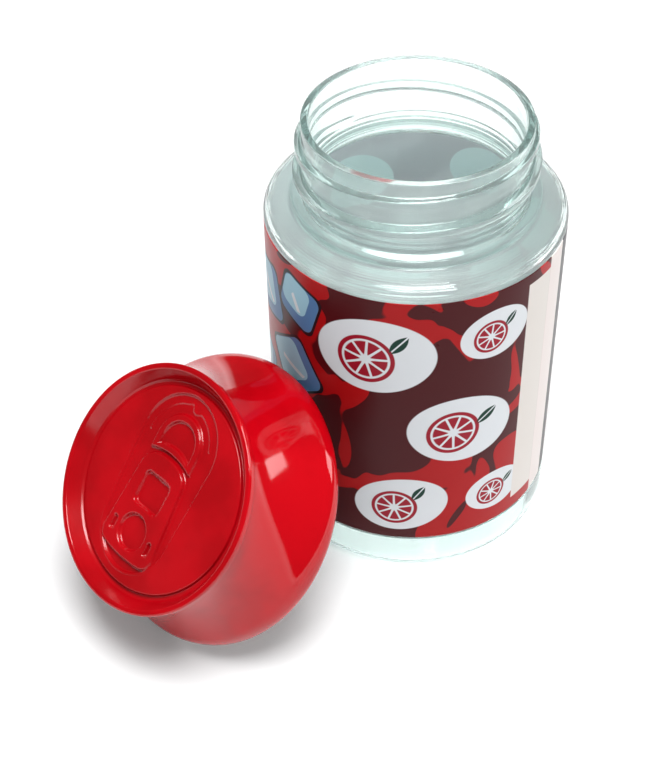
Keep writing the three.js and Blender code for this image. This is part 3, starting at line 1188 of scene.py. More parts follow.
    def outside(self) -> list[Point]:
        """Profile from the middle of the pushed-up base to the neck's rim.

        Returns:
            Radius and height of each point.
        """
        panel = self.body_radius - self.label_step
        neck = self.neck_radius + self.neck_draft
        start = (neck, self.bead_top + self.neck_start)
        end = (self.neck_radius, self.neck_top - self.rim_depth)
        foot_width, foot_height = self.foot_slope
        panel_round, body_round = self.ledge_rounds
        low_round, side_round, top_round = self.bead_rounds
        low = [
            (self.dome_radius * self.dome_foot[0], self.dome_foot[1], 0),
            (self.dome_radius + self.ring_lead, 0.0, self.ring_round),
            (self.body_radius - foot_width, 0.0, self.ring_round),
            (self.body_radius, foot_height, self.foot_round),
            (self.body_radius, self.label_low - self.ledge_far, body_round),
            (panel, self.label_low - self.ledge_near, panel_round),
            (panel, self.label_top + self.ledge_near, panel_round),
            (self.body_radius, self.label_top + self.ledge_far, body_round),
            *((*point, 0.0) for point in self.shoulder()),
            (self.bead_radius - self.bead_cut, self.bead_low, low_round),
            (self.bead_radius, self.bead_low + self.bead_cut, side_round),
            (self.bead_radius, self.bead_top, top_round),
            (neck, self.bead_top + self.neck_root[0], self.neck_root[1]),
            (*start, 0),
        ]
        rim = [
            (*end, 0),
            (self.neck_radius, self.neck_top, self.rim_round),
            (self.rim_middle, self.neck_top, 0),
        ]
        body = rounded(low, self.corner_steps)[:-1]
        neck_rows = rows(start, end, self.row)
        return [*self.dome(0.0), *body, *neck_rows, *rounded(rim, self.rim_steps)]

    def shoulder(self) -> list[Point]:
        """Profile of the shoulder from the label's upper edge to the neck's foot.

        It is full and round, with the faint rings that the mould leaves on it.

        Returns:
            Radius and height of each point.
        """
        low = Vector((self.body_radius, self.label_top + self.shoulder_start))
        pull = Vector((self.body_radius, self.shoulder_top + self.shoulder_fullness))
        high = Vector((self.bead_radius + self.bead_gap, self.shoulder_top + self.shoulder_rise))
        made = []
        for k in range(self.shoulder_steps + 1):
            share = k / self.shoulder_steps
            spot = bend(low, pull, high, share)
            slope = (pull - low) * (1 - share) + (high - pull) * share
            out = Vector((slope.y, -slope.x)).normalized()
            run = (self.body_radius - spot.x) / self.ring_spacing
            ring = self.ring_rise * math.sin(FULL_TURN * run) * math.sin(math.pi * share)
            made.append(tuple(spot + out * ring))
        return made

    def inside(self) -> list[Point]:
        """Profile from the neck's rim down to the middle of the floor.

        Returns:
            Radius and height of each point.
        """
        bore = self.neck_radius - self.neck_wall
        wall = self.body_radius - self.label_step - self.wall
        top = self.shoulder_top - self.wall
        bore_foot, bore_round = self.bore_foot
        flare, flare_round = self.bore_flare
        ring, ring_round = self.hollow_ring
        share, dome_height = self.hollow_dome
        corners = [
            (self.rim_middle, self.neck_top, 0),
            (bore, self.neck_top, self.rim_round),
            (bore, self.bead_low + bore_foot, bore_round),
            (bore + flare, top + self.shoulder_rise, flare_round),
            (wall, top, self.shoulder_round),
            (wall, self.label_low, 0),
            (wall, *self.hollow_foot),
            (self.dome_radius, self.base_wall + ring, ring_round),
            (self.dome_radius * share, self.base_wall + dome_height, 0),
        ]
        return [*rounded(corners, self.corner_steps)[1:-1], *reversed(self.dome(self.base_wall))]

    def raised(self, places: np.ndarray) -> np.ndarray:
        """How far the thread, the rings at its foot and the mould's seam stand out.

        Args:
            places: One row of x, y and z for each vertex of the turned jar.

        Returns:
            The change in radius at each vertex.
        """
        wall, height = from_axis(places), places[:, 2]
        outer = wall > self.rim_middle
        above, below = self.thread_zone
        neck = outer & (height > self.bead_top + above) & (height < self.neck_top - below)
        lift = np.where(neck, self.thread().lift(places), 0)
        for middle in self.foot_rings:
            away = np.abs(height - middle) / self.foot_ring_half
            lift = np.maximum(lift, np.where(neck, self.foot_ring_rise * ramp(1 - away), 0))
        turned = np.radians(bearings(places) - self.seam_bearing)
        across = np.abs(np.sin(turned)) * self.neck_radius
        seam = self.seam_height * ramp(1 - across / self.seam_width)
        return np.maximum(lift, seam * outer * (height > self.shoulder_top))

    def build(self) -> Piece:
        """Turns the jar, raises its thread and mould seam, and dresses it.

        Returns:
            The finished jar.
        """
        piece = turn("jar_shell", [*self.outside(), *self.inside()], self.sides)
        places = read_vertices(piece)
        push_out(places, self.raised(places))
        write_vertices(piece, places)
        settle(piece, Matrix.Translation((*self.axis, 0)), self.sharp)
        piece.data.materials.append(ClearPlastic().make())
        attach(piece, Body.JAR.value)
        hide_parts("jar_body")
        return piece


@dataclass(frozen=True)
class Label:
    """The printed film wrapped round the jar.

    Args:
        jar: The jar, of which the sizes count.
        lap_bearing: Bearing in degrees where its end laps over its start.
        lap_slope: Share of the lap over which it rises.
        back_slope: Largest share of up or down in the normal of a face of the back.
        sharp: Edges that turn by more than this many degrees stay sharp.
    """

    jar: Jar
    sides: int = 192
    inner: float = 32.78 * MM
    bevel: float = 0.06 * MM
    row: float = 6.0 * MM
    lap_bearing: float = 75.0
    lap_length: float = 6.0 * MM
    lap_rise: float = 0.18 * MM
    lap_slope: float = 1 / 3
    back_slope: float = 0.5
    sharp: float = 35.0

    @property
    def outer(self) -> float:
        """Radius of its printed side, which lies level with the jar's wall."""
        return self.jar.body_radius

    def profile(self) -> list[Point]:
        """Profile of the film.

        Returns:
            Radius and height of each point, from the back's lower edge round the front.
        """
        low, top = self.jar.label_low, self.jar.label_top
        start = (self.outer, low + 2 * self.bevel)
        end = (self.outer, top - 2 * self.bevel)
        return [
            (self.inner, low),
            (self.outer - self.bevel, low),
            (self.outer, low + self.bevel),
            *rows(start, end, self.row),
            (self.outer, top - self.bevel),
            (self.outer - self.bevel, top),
            (self.inner, top),
        ]

    def lap(self, places: np.ndarray) -> np.ndarray:
        """How far the few millimetres of film that lap over the label's start stand out.

        Args:
            places: One row of x, y and z for each vertex of the turned film.

        Returns:
            The change in radius at each vertex.
        """
        span = math.degrees(self.lap_length / self.outer)
        past = (bearings(places) - self.lap_bearing) / span
        front = from_axis(places) > (self.inner + self.outer) / 2
        lapped = front & (past >= 0) & (past <= 1)
        return np.where(lapped, self.lap_rise * ramp(past / self.lap_slope), 0)

    def build(self) -> Piece:
        """Turns the film, lifts its lap and dresses its two sides.

        Returns:
            The finished label.
        """
        piece = turn("label_film", self.profile(), self.sides)
        places = read_vertices(piece)
        push_out(places, self.lap(places))
        write_vertices(piece, places)
        settle(piece, Matrix.Translation((*self.jar.axis, 0)), self.sharp)
        front = LabelPrint(self.jar.axis, self.outer, self.jar.label_low)
        for material in (front.make(), LabelBack(front).make()):
            piece.data.materials.append(material)
        axis = Vector((*self.jar.axis, 0))
        for face in piece.data.polygons:
            inwards = (face.center - axis).to_2d().dot(face.normal.to_2d()) < 0
            face.material_index = int(inwards and abs(face.normal.z) < self.back_slope)
        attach(piece, Body.JAR.value)
        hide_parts("wrap_label")
        return piece


def outside_circle(x: np.ndarray, y: np.ndarray, centre: Point, radius: float) -> np.ndarray:
    """Distance outside a circle, negative within it."""
    return np.hypot(x - centre[0], y - centre[1]) - radius


def near_line(x: np.ndarray, y: np.ndarray, line: list[Point]) -> np.ndarray:
    """Distance from an open line.

    Args:
        x: First coordinates.
        y: Second coordinates.
        line: Points of the line in order.

    Returns:
        The distances.
    """
    nearest = np.full(len(x), np.inf)
    for (x0, y0), (x1, y1) in zip(line, line[1:]):
        dx, dy = x1 - x0, y1 - y0
        length = dx * dx + dy * dy
        if length == 0:
            continue
        along = np.clip(((x - x0) * dx + (y - y0) * dy) / length, 0, 1)
        nearest = np.minimum(nearest, np.hypot(x - x0 - along * dx, y - y0 - along * dy))
    return nearest


def outside_outline(x: np.ndarray, y: np.ndarray, outline: list[Point]) -> np.ndarray:
    """Distance outside a closed outline, negative within it.

    Args:
        x: First coordinates.
        y: Second coordinates.
        outline: Corners of the outline in order.

    Returns:
        The signed distances.
    """
    closed = [*outline, outline[0]]
    within = np.zeros(len(x), dtype=bool)
    for (x0, y0), (x1, y1) in zip(closed, closed[1:]):
        if y0 != y1:
            crosses = (y0 > y) != (y1 > y)
            within ^= crosses & (x < x0 + (y - y0) * (x1 - x0) / (y1 - y0))
    nearest = near_line(x, y, closed)
    return np.where(within, -nearest, nearest)


@dataclass(frozen=True)
class FaceRelief:
    """The tab, pour opening and pocket moulded into the cap's face, in millimetres.

    X runs to the right and Y towards the pour opening, from the centre of the tab's own axis.

    Args:
        turn: How far the tab is turned on the face, in degrees.
        shift: How far its axis is to the right of the face's middle.
        pocket_ends: Centre along the tab and radius of the pocket's tail end and opening end.
        nose_pull: How far the nose's corners are pulled in.
        tail_corner: Width of the tail's corners, and how far they and the tail bulge.
        hole: Centre along the tab and radius of the finger hole.
        opening_side: Distance from the tab's shoulder to the band's corners.
        score_right: Gap to the band, first and last bearing of the bead's right part.
        score_left: The same of its left part.
        arc_steps: Chords in the opening's round end, in the right part and in the left part.
    """

    turn: float = 3.0
    shift: float = -1.2
    edge: float = 0.55
    pocket_ends: tuple[Point, Point] = ((-10.2, 10.2), (10.2, 11.4))
    pocket_floor: float = -0.6
    tab_rise: float = 0.45
    nose: float = 6.8
    nose_half: float = 6.9
    nose_pull: float = 1.0
    shoulder: float = 3.4
    hip: float = -14.2
    tail: float = -17.8
    tail_half: float = 8.6
    tail_corner: Corner = (3.0, 0.8, 0.4)
    hole: Point = (-11.7, 4.1)
    window_half: Point = (4.0, 3.8)
    window_centre: float = -1.9
    window_round: float = 1.3
    slot_spacing: float = 6.1
    slot_centre: float = -12.6
    slot_half: float = 1.1
    slot_width: float = 1.0
    opening_rise: float = 0.25
    opening_half: float = 6.7
    opening_centre: float = 10.4
    opening_gap: float = 0.9
    opening_side: float = 3.0
    opening_band: float = 1.7
    bead_rise: float = 0.2
    bead_width: float = 0.45
    score_right: Corner = (2.2, 20.0, 78.0)
    score_left: Corner = (2.6, 112.0, 185.0)
    score_dip: tuple[Point, ...] = (
        (1.3, 18.7),
        (0.4, 18.3),
        (-0.4, 18.6),
        (-0.9, 19.6),
        (-1.7, 20.0),
        (-2.5, 19.4),
    )
    arc_steps: tuple[int, int, int] = (24, 8, 10)

    def tab(self) -> list[Point]:
        """Outline of the tab: round nose, widening sides and blunt tail.

        Returns:
            The outline's points.
        """
        nose, side = (0.0, self.nose), (self.nose_half, self.shoulder)
        pull = self.nose_half - self.nose_pull
        corner, out, bulge = self.tail_corner
        hip, end = (self.tail_half, self.hip), (self.tail_half - corner, self.tail + bulge)
        low, middle = self.tail + out, (0.0, self.tail - bulge)
        return [
            *curve((-side[0], side[1]), (-pull, self.nose), nose),
            *curve(nose, (pull, self.nose), side),
            side,
            *curve(hip, (self.tail_half, low), end),
            *curve(end, middle, (-end[0], end[1])),
            *curve((-end[0], end[1]), (-self.tail_half, low), (-hip[0], hip[1])),
            (-hip[0], hip[1]),
        ]

    def opening(self, inset: float) -> list[Point]:
        """Outline of the pour opening, a D with a hollow straight side.

        Args:
            inset: How much smaller than the outer outline it is.

        Returns:
            The outline's points.
        """
        half = self.opening_half - inset
        low = self.nose + self.opening_gap + inset
        side = self.shoulder + self.opening_side + inset
        top = arc((0, self.opening_centre), half, 0, 180, self.arc_steps[0])
        return [*curve((-half, side), (0, 2 * low - side), (half, side)), (half, side), *top]

    def score(self) -> list[Point]:
        """Line of the thin bead that runs round the pour opening, with the dip over its top.

        Returns:
            The line's points.
        """
        sides = []
        parts = (self.score_right, self.score_left)
        for (gap, start, end), steps in zip(parts, self.arc_steps[1:]):
            radius = self.opening_half + gap
            sides.append(arc((0, self.opening_centre), radius, start, end, steps))
        return [*sides[0], *self.score_dip, *sides[1]]

    def height(self, u: np.ndarray, v: np.ndarray) -> np.ndarray:
        """Height of the relief above the flat face.

        Args:
            u: Sideways distance from the cap's axis in millimetres.
            v: Distance towards the pour opening in millimetres.

        Returns:
            The height in millimetres.
        """
        cosine, sine = math.cos(math.radians(self.turn)), math.sin(math.radians(self.turn))
        x = (u - self.shift) * cosine + v * sine
        y = v * cosine - (u - self.shift) * sine
        pocket = self.pocket(x, y)
        inner = self.opening(self.opening_band)
        levels = [
            (pocket, self.pocket_floor),
            (outside_outline(x, y, self.opening(0)), self.opening_rise),
            (outside_outline(x, y, inner), self.pocket_floor),
            (outside_outline(x, y, self.tab()), self.tab_rise),
            *((hollow, self.pocket_floor) for hollow in self.hollows(x, y)),
        ]
        made = np.zeros(len(x))
        for distance, level in levels:
            made += (level - made) * ramp(0.5 - distance / self.edge)
        bead = np.minimum(near_line(x, y, self.score()), np.abs(pocket))
        return made + self.bead_rise * ramp(1 - bead / self.bead_width)

    def hollows(self, x: np.ndarray, y: np.ndarray) -> list[np.ndarray]:
        """Distances from the finger hole, the window and the two slots in the tab.

        Args:
            x: Distance across the tab.
            y: Distance along the tab.

        Returns:
            Signed distances, negative within each.
        """
        centre, radius = self.hole
        inner_x = np.abs(x) - self.window_half[0] + self.window_round
        inner_y = np.abs(y - self.window_centre) - self.window_half[1] + self.window_round
        outer = np.hypot(np.maximum(inner_x, 0), np.maximum(inner_y, 0))
        window = outer + np.minimum(np.maximum(inner_x, inner_y), 0) - self.window_round
        made = [outside_circle(x, y, (0, centre), radius), window]
        low, high = self.slot_centre - self.slot_half, self.slot_centre + self.slot_half
        for side in (-self.slot_spacing, self.slot_spacing):
            made.append(near_line(x, y, [(side, low), (side, high)]) - self.slot_width / 2)
        return made

    def pocket(self, x: np.ndarray, y: np.ndarray) -> np.ndarray:
        """Distance outside the pocket, which is wide at the opening and narrower at the tail.

        Args:
            x: Distance across the tab.
            y: Distance along the tab.

        Returns:
            Signed distances, negative within it.
        """
        (low, low_radius), (high, high_radius) = self.pocket_ends
        lean = (low_radius - high_radius) / (high - low)
        side = math.sqrt(1 - lean * lean)
        along = (y - low) * side + np.abs(x) * lean
        straight = np.abs(x) * side + (y - low) * lean - low_radius
        tail = outside_circle(x, y, (0, low), low_radius)
        head = outside_circle(x, y, (0, high), high_radius)
        return np.where(along < 0, tail, np.where(along > side * (high - low), head, straight))


@dataclass(frozen=True)
class Cap:
    """The red can-top screw cap, turned about its own axis and then leant on the jar.

    Args:
        place: Where the cap's own frame goes.
        edge_sweep: Degrees that the open edge's rounding sweeps.
        lip_slope: Heights below and above the lip's underside that its slope takes.
        lip_rounds: Rounding under the lip, at its underside, outside and inside.
        moat_slope: Width and height of the outer side of the groove round the face.
        moat_rounds: Rounding of the groove's four edges from the outermost in.
        satin_below: How far under the groove's floor the satin of the face ends.
        skirt_lead: Height where the skirt gets narrow, and the rounding there.
        skirt_thread: Height where the thread's fine rows end.
        skirt_reach: Radius and height beyond the skirt's up to which its thread is raised.
        skirt_root: Height of the skirt's outside, and the rounding there.
        shell_root: Step to the shell beyond the skirt, its rise and its rounding.
        rib_steps: Depths below the liner's bore of the rib's start, its end and the skirt's start.
        rib_rounds: Rounding of the bore's corners, of the rib and of its end.
        sharp: Edges that turn by more than this many degrees stay sharp.
    """

    place: Matrix
    sides: int = 352
    height: float = 24.4 * MM
    bulge_radius: float = 33.0 * MM
    bulge_round: float = 5.5 * MM
    edge_round: float = 2.6 * MM
    edge_sweep: float = 62.0
    edge_steps: int = 8
    flare_steps: tuple[int, int] = (10, 18)
    corner_steps: int = 6
    hidden_steps: int = 3
    wall: float = 1.5 * MM
    waist_radius: float = 26.1 * MM
    waist_below_lip: float = 3.4 * MM
    lip_radius: float = 27.4 * MM
    lip_width: float = 1.35 * MM
    lip_height: float = 1.9 * MM
    lip_slope: Point = (0.5 * MM, 0.1 * MM)
    lip_rounds: tuple[float, ...] = (0.6 * MM, 0.7 * MM, 0.62 * MM, 0.55 * MM)
    panel_depth: float = 2.6 * MM
    panel_radius: float = 22.8 * MM
    panel_wall: float = 1.6 * MM
    panel_rim: float = 0.9 * MM
    moat_depth: float = 0.8 * MM
    moat_width: float = 1.3 * MM
    moat_slope: Point = (0.35 * MM, 0.4 * MM)
    moat_lead: float = 0.1 * MM
    moat_rounds: tuple[float, ...] = (0.5 * MM, 0.4 * MM, 0.3 * MM, 0.5 * MM)
    satin_below: float = 0.1 * MM
    skirt_bottom: float = 3.0 * MM
    skirt_wall: float = 1.4 * MM
    skirt_radius: float = 26.8 * MM
    skirt_narrow: float = 25.9 * MM
    skirt_start: float = 12.0 * MM
    skirt_lead: Point = (16.6 * MM, 0.5 * MM)
    skirt_thread: float = 3.6 * MM
    skirt_row: float = 0.35 * MM
    skirt_reach: Point = (0.3 * MM, 1.0 * MM)
    skirt_round: float = 0.4 * MM
    skirt_root: Point = (8.6 * MM, 0.5 * MM)
    shell_root: Corner = (0.7 * MM, 0.3 * MM, 0.2 * MM)
    shell_gap: float = 1.0 * MM
    liner_bore: float = 25.2 * MM
    rib_drop: float = 1.5 * MM
    rib_width: float = 0.5 * MM
    rib_steps: Corner = (0.4 * MM, 0.8 * MM, 1.7 * MM)
    rib_rounds: Corner = (0.15 * MM, 0.2 * MM, 0.3 * MM)
    face_row: float = 0.2 * MM
    middle_row: float = 0.45 * MM
    middle_radius: float = 5.0 * MM
    sharp: float = 75.0

    @property
    def edge_ring(self) -> float:
        """Radius of the ring of centres of the open edge's rounding."""
        return self.bulge_radius - self.edge_round

    @property
    def bulge_height(self) -> float:
        """Height of the widest line above the open edge."""
        return self.edge_round * math.sin(math.radians(self.edge_sweep))

    @property
    def panel_top(self) -> float:
        """Height of the flat face."""
        return self.height - self.panel_depth

    def flare(self, inset: float) -> list[Point]:
        """Profile from the widest line up to the waist.

        Args:
            inset: How far inside the outer surface it runs.

        Returns:
            Radius and height of each point.
        """
        waist = self.height - self.waist_below_lip
        rise = waist - self.bulge_height
        tilt = 2 * math.atan2(self.bulge_radius - self.waist_radius, rise)
        hollow = rise / math.sin(tilt) - self.bulge_round
        degrees = math.degrees(tilt)
        start = (self.bulge_radius - self.bulge_round, self.bulge_height)
        centre = (self.waist_radius + hollow, waist)
        low_steps, high_steps = self.flare_steps
        lower = arc(start, self.bulge_round - inset, 0, degrees, low_steps)
        upper = arc(centre, hollow + inset, 180 + degrees, 180, high_steps)
        return [*lower, *upper[1:]]

    def outside(self) -> list[Point]:
        """Profile from the open edge up over the lip to the middle of the face.

        Returns:
            Radius and height of each point.
        """
        centre = (self.edge_ring, self.bulge_height)
        base = arc(centre, self.edge_round, -self.edge_sweep, 0, self.edge_steps)
        top, lip_low = self.height, self.height - self.lip_height
        moat, moat_out = self.panel_top - self.moat_depth, self.panel_radius + self.moat_width
        slope_width, slope_height = self.moat_slope
        rim = (self.panel_radius - self.panel_rim, self.panel_top)
        points = [
            (self.waist_radius, lip_low - self.lip_slope[0]),
            (self.lip_radius, lip_low + self.lip_slope[1]),
            (self.lip_radius, top),
            (self.lip_radius - self.lip_width, top),
            (moat_out + self.moat_lead, moat + slope_height),
            (moat_out - slope_width, moat),
            (self.panel_radius + self.moat_lead, moat),
            (self.panel_radius, self.panel_top),
        ]
        rounds = (*self.lip_rounds, *self.moat_rounds)
        waist = (self.waist_radius, top - self.waist_below_lip, 0)
        corners = [(*point, fillet) for point, fillet in zip(points, rounds)]
        lip = rounded([waist, *corners, (*rim, 0)], self.corner_steps)
        ring, middle = (self.middle_radius, self.panel_top), (0.0, self.panel_top)
        face = [*rows(rim, ring, self.face_row), *rows(ring, middle, self.middle_row), middle]
        return [*base, *self.flare(0)[1:-1], *lip[:-1], *face]

    def inside(self) -> list[Point]:
        """Profile from the middle under the face down the skirt to the open edge.

        Returns:
            Radius and height of each point.
        """
        under = self.panel_top - self.panel_wall
        rib, rib_radius = under - self.rib_drop, self.liner_bore - self.rib_width
        rib_start, rib_end, skirt_top = (rib - step for step in self.rib_steps)
        seat_round, rib_round, end_round = self.rib_rounds
        out, bottom = self.skirt_radius + self.skirt_wall, self.skirt_bottom
        root, root_round = self.skirt_root
        step, rise, shell_round = self.shell_root
        wide, low = (self.skirt_radius, self.skirt_start), (self.skirt_radius, self.skirt_thread)
        upper = [
            (0.0, under, 0),
            (self.liner_bore, under, seat_round),
            (self.liner_bore, rib, seat_round),
            (rib_radius, rib_start, rib_round),
            (rib_radius, rib_end, rib_round),
            (self.skirt_narrow, skirt_top, end_round),
            (self.skirt_narrow, *self.skirt_lead),
            (*wide, 0),
        ]
        lower = [
            (*low, 0),
            (self.skirt_radius, bottom, self.skirt_round),
            (out, bottom, self.skirt_round),
            (out, root, root_round),
            (out + step, root + rise, shell_round),
        ]
        skirt = [*rounded(upper, self.hidden_steps)[:-1], *rows(wide, low, self.skirt_row)]
        shell = [point for point in self.flare(self.wall) if point[0] > out + self.shell_gap]
        reach = self.edge_round * math.cos(math.radians(self.edge_sweep))
        edge = (self.edge_ring + reach - self.wall, 0.0)
        return [*skirt, *rounded(lower), *reversed(shell), edge]

    def thread(self) -> Helix:
        """The skirt's thread ridge.

        Returns:
            The ridge, which stands inwards.
        """
        return Helix(
            pitch=THREAD_PITCH,
            turns=0.85,
            top=10.5 * MM,
            top_angle=-63.0,
            crest_top=25.2 * MM,
            crest_low=25.2 * MM,
            crest_width=0.9 * MM,
            root_width=2.9 * MM,
        )

    def satin(self, places: np.ndarray) -> np.ndarray:
        """How satin the moulding is: the face and the groove round it, but not the lip.

        Args:
            places: One row of x, y and z for each vertex of the turned cap.

        Returns:
            A share for each vertex.
        """
        inner = self.lip_radius - self.lip_width
        within = ramp((inner - from_axis(places)) / self.lip_width + 0.5)
        above = places[:, 2] > self.panel_top - self.moat_depth - self.satin_below
        return np.where(above, within, 0.0)

    def build(self) -> Piece:
        """Turns the cap, raises its relief and thread, leans it and dresses it.

        Returns:
            The finished cap.
        """
        piece = turn("cap_shell", [*self.inside(), *self.outside()], self.sides)
        places = read_vertices(piece)
        wall, height = from_axis(places), places[:, 2]
        out, up = self.skirt_reach
        skirt = (wall < self.skirt_radius + out) & (height < self.skirt_start + up)
        push_out(places, np.where(skirt, self.thread().lift(places), 0))
        face = (np.abs(height - self.panel_top) < TINY) & (wall < self.panel_radius)
        satin = self.satin(places)
        places[face, 2] += FaceRelief().height(*places[face, :2].T / MM) * MM
        write_vertices(piece, places)
        piece.data.attributes.new(SATIN, "FLOAT", "POINT").data.foreach_set("value", satin)
        settle(piece, self.place, self.sharp)
        piece.data.materials.append(RedPlastic().make())
        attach(piece, Body.CAP.value)
        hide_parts("screw_cap")
        return piece


@dataclass(frozen=True)
class Liner:
    """The foam disc that lies in the cap.

    Args:
        place: Where the cap's own frame goes.
        dish_in: Radii over which the pressed ring sets in.
        dish_out: Radii over which the pressed ring ends.
        edge_rounds: Rounding of the ring's outermost edge and of the disc's edges.
        sharp: Edges that turn by more than this many degrees stay sharp.
    """

    place: Matrix
    sides: int = 128
    radius: float = 24.9 * MM
    thickness: float = 1.0 * MM
    top: float = 19.9 * MM
    dish: float = 0.12 * MM
    dish_in: Point = (22.3 * MM, 22.8 * MM)
    dish_out: Point = (24.2 * MM, 24.5 * MM)
    dish_round: float = 0.2 * MM
    edge_rounds: Point = (0.1 * MM, 0.15 * MM)
    steps: int = 3
    sharp: float = 40.0

    def profile(self) -> list[Point]:
        """Profile of the disc from its middle below to its middle above.

        Returns:
            Radius and height of each point.
        """
        low = self.top - self.thickness
        pressed = low + self.dish
        ring_round, edge_round = self.edge_rounds
        corners = [
            (0.0, low, 0),
            (self.dish_in[0], low, self.dish_round),
            (self.dish_in[1], pressed, self.dish_round),
            (self.dish_out[0], pressed, self.dish_round),
            (self.dish_out[1], low, ring_round),
            (self.radius, low, edge_round),
            (self.radius, self.top, edge_round),
            (0.0, self.top, 0),
        ]
        return rounded(corners, self.steps)

    def build(self) -> Piece:
        """Turns the disc with the faint ring that the rim presses in, and dresses it.

        Returns:
            The finished liner.
        """
        piece = turn("liner_disc", self.profile(), self.sides)
        settle(piece, self.place, self.sharp)
        piece.data.materials.append(Foam().make())
        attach(piece, Body.LINER.value)
        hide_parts("sealing_liner")
        return piece


@dataclass(frozen=True)
class Lean:
    """How the cap leans on the jar.

    Args:
        jar: The jar, of which the radius counts.
        tilt: Angle between the cap's axis and upright, in degrees.
        bearing: Bearing of the cap from the jar in degrees.
        side_shift: How far the cap is off to the side of that bearing.
        gap: Gap between the cap and the jar.
    """

    jar: Jar
    tilt: float = 49.1
    bearing: float = 218.2
    side_shift: float = -2.5 * MM
    gap: float = 0.2 * MM

    def matrix(self, cap: Cap) -> Matrix:
        """Place of the cap's own frame.

        Args:
            cap: The cap, of which the sizes count.

        Returns:
            The frame, with Z out of the cap's face and Y up its slope.
        """
        tilt, bearing = math.radians(self.tilt), math.radians(self.bearing)
        away = Vector((math.cos(bearing), math.sin(bearing), 0))
        sideways = Vector((-math.sin(bearing), math.cos(bearing), 0))
        axis = away * math.sin(tilt) + Vector((0, 0, math.cos(tilt)))
        reach = self.jar.body_radius + self.gap + cap.edge_round + cap.edge_ring * math.cos(tilt)
        ring = Vector((*self.jar.axis, 0)) + away * reach + sideways * self.side_shift
        ring.z = cap.edge_ring * math.sin(tilt) + cap.edge_round
        turned = Matrix((sideways, axis.cross(sideways), axis)).transposed().to_4x4()
        return Matrix.Translation(ring - axis * cap.bulge_height) @ turned


@dataclass(frozen=True)
class Softbox:
    """One soft rectangular lamp that faces the object.

    Args:
        name: The lamp's name.
        bearing: Bearing from the object in degrees, 0 being to the right.
        height: Angle above the floor in degrees.
        distance: Distance from the object.
        size: Width and height.
        power: Power in watts.
        aim: The point that it faces.
    """

    name: str
    bearing: float
    height: float
    distance: float
    size: Point
    power: float
    aim: Corner = (-10.0 * MM, -10.0 * MM, 40.0 * MM)

    def build(self) -> None:
        """Hangs the lamp."""
        data = bpy.data.lights.new(self.name, "AREA")
        data.shape = "RECTANGLE"
        data.size, data.size_y = self.size
        data.energy = self.power
        lamp = bpy.data.objects.new(self.name, data)
        bpy.context.collection.objects.link(lamp)
        bearing, height = math.radians(self.bearing), math.radians(self.height)
        flat = math.cos(height)
        out = Vector((math.cos(bearing) * flat, math.sin(bearing) * flat, math.sin(height)))
        turned = (-out).to_track_quat("-Z", "Y").to_matrix().to_4x4()
        lamp.matrix_world = Matrix.Translation(Vector(self.aim) + out * self.distance) @ turned


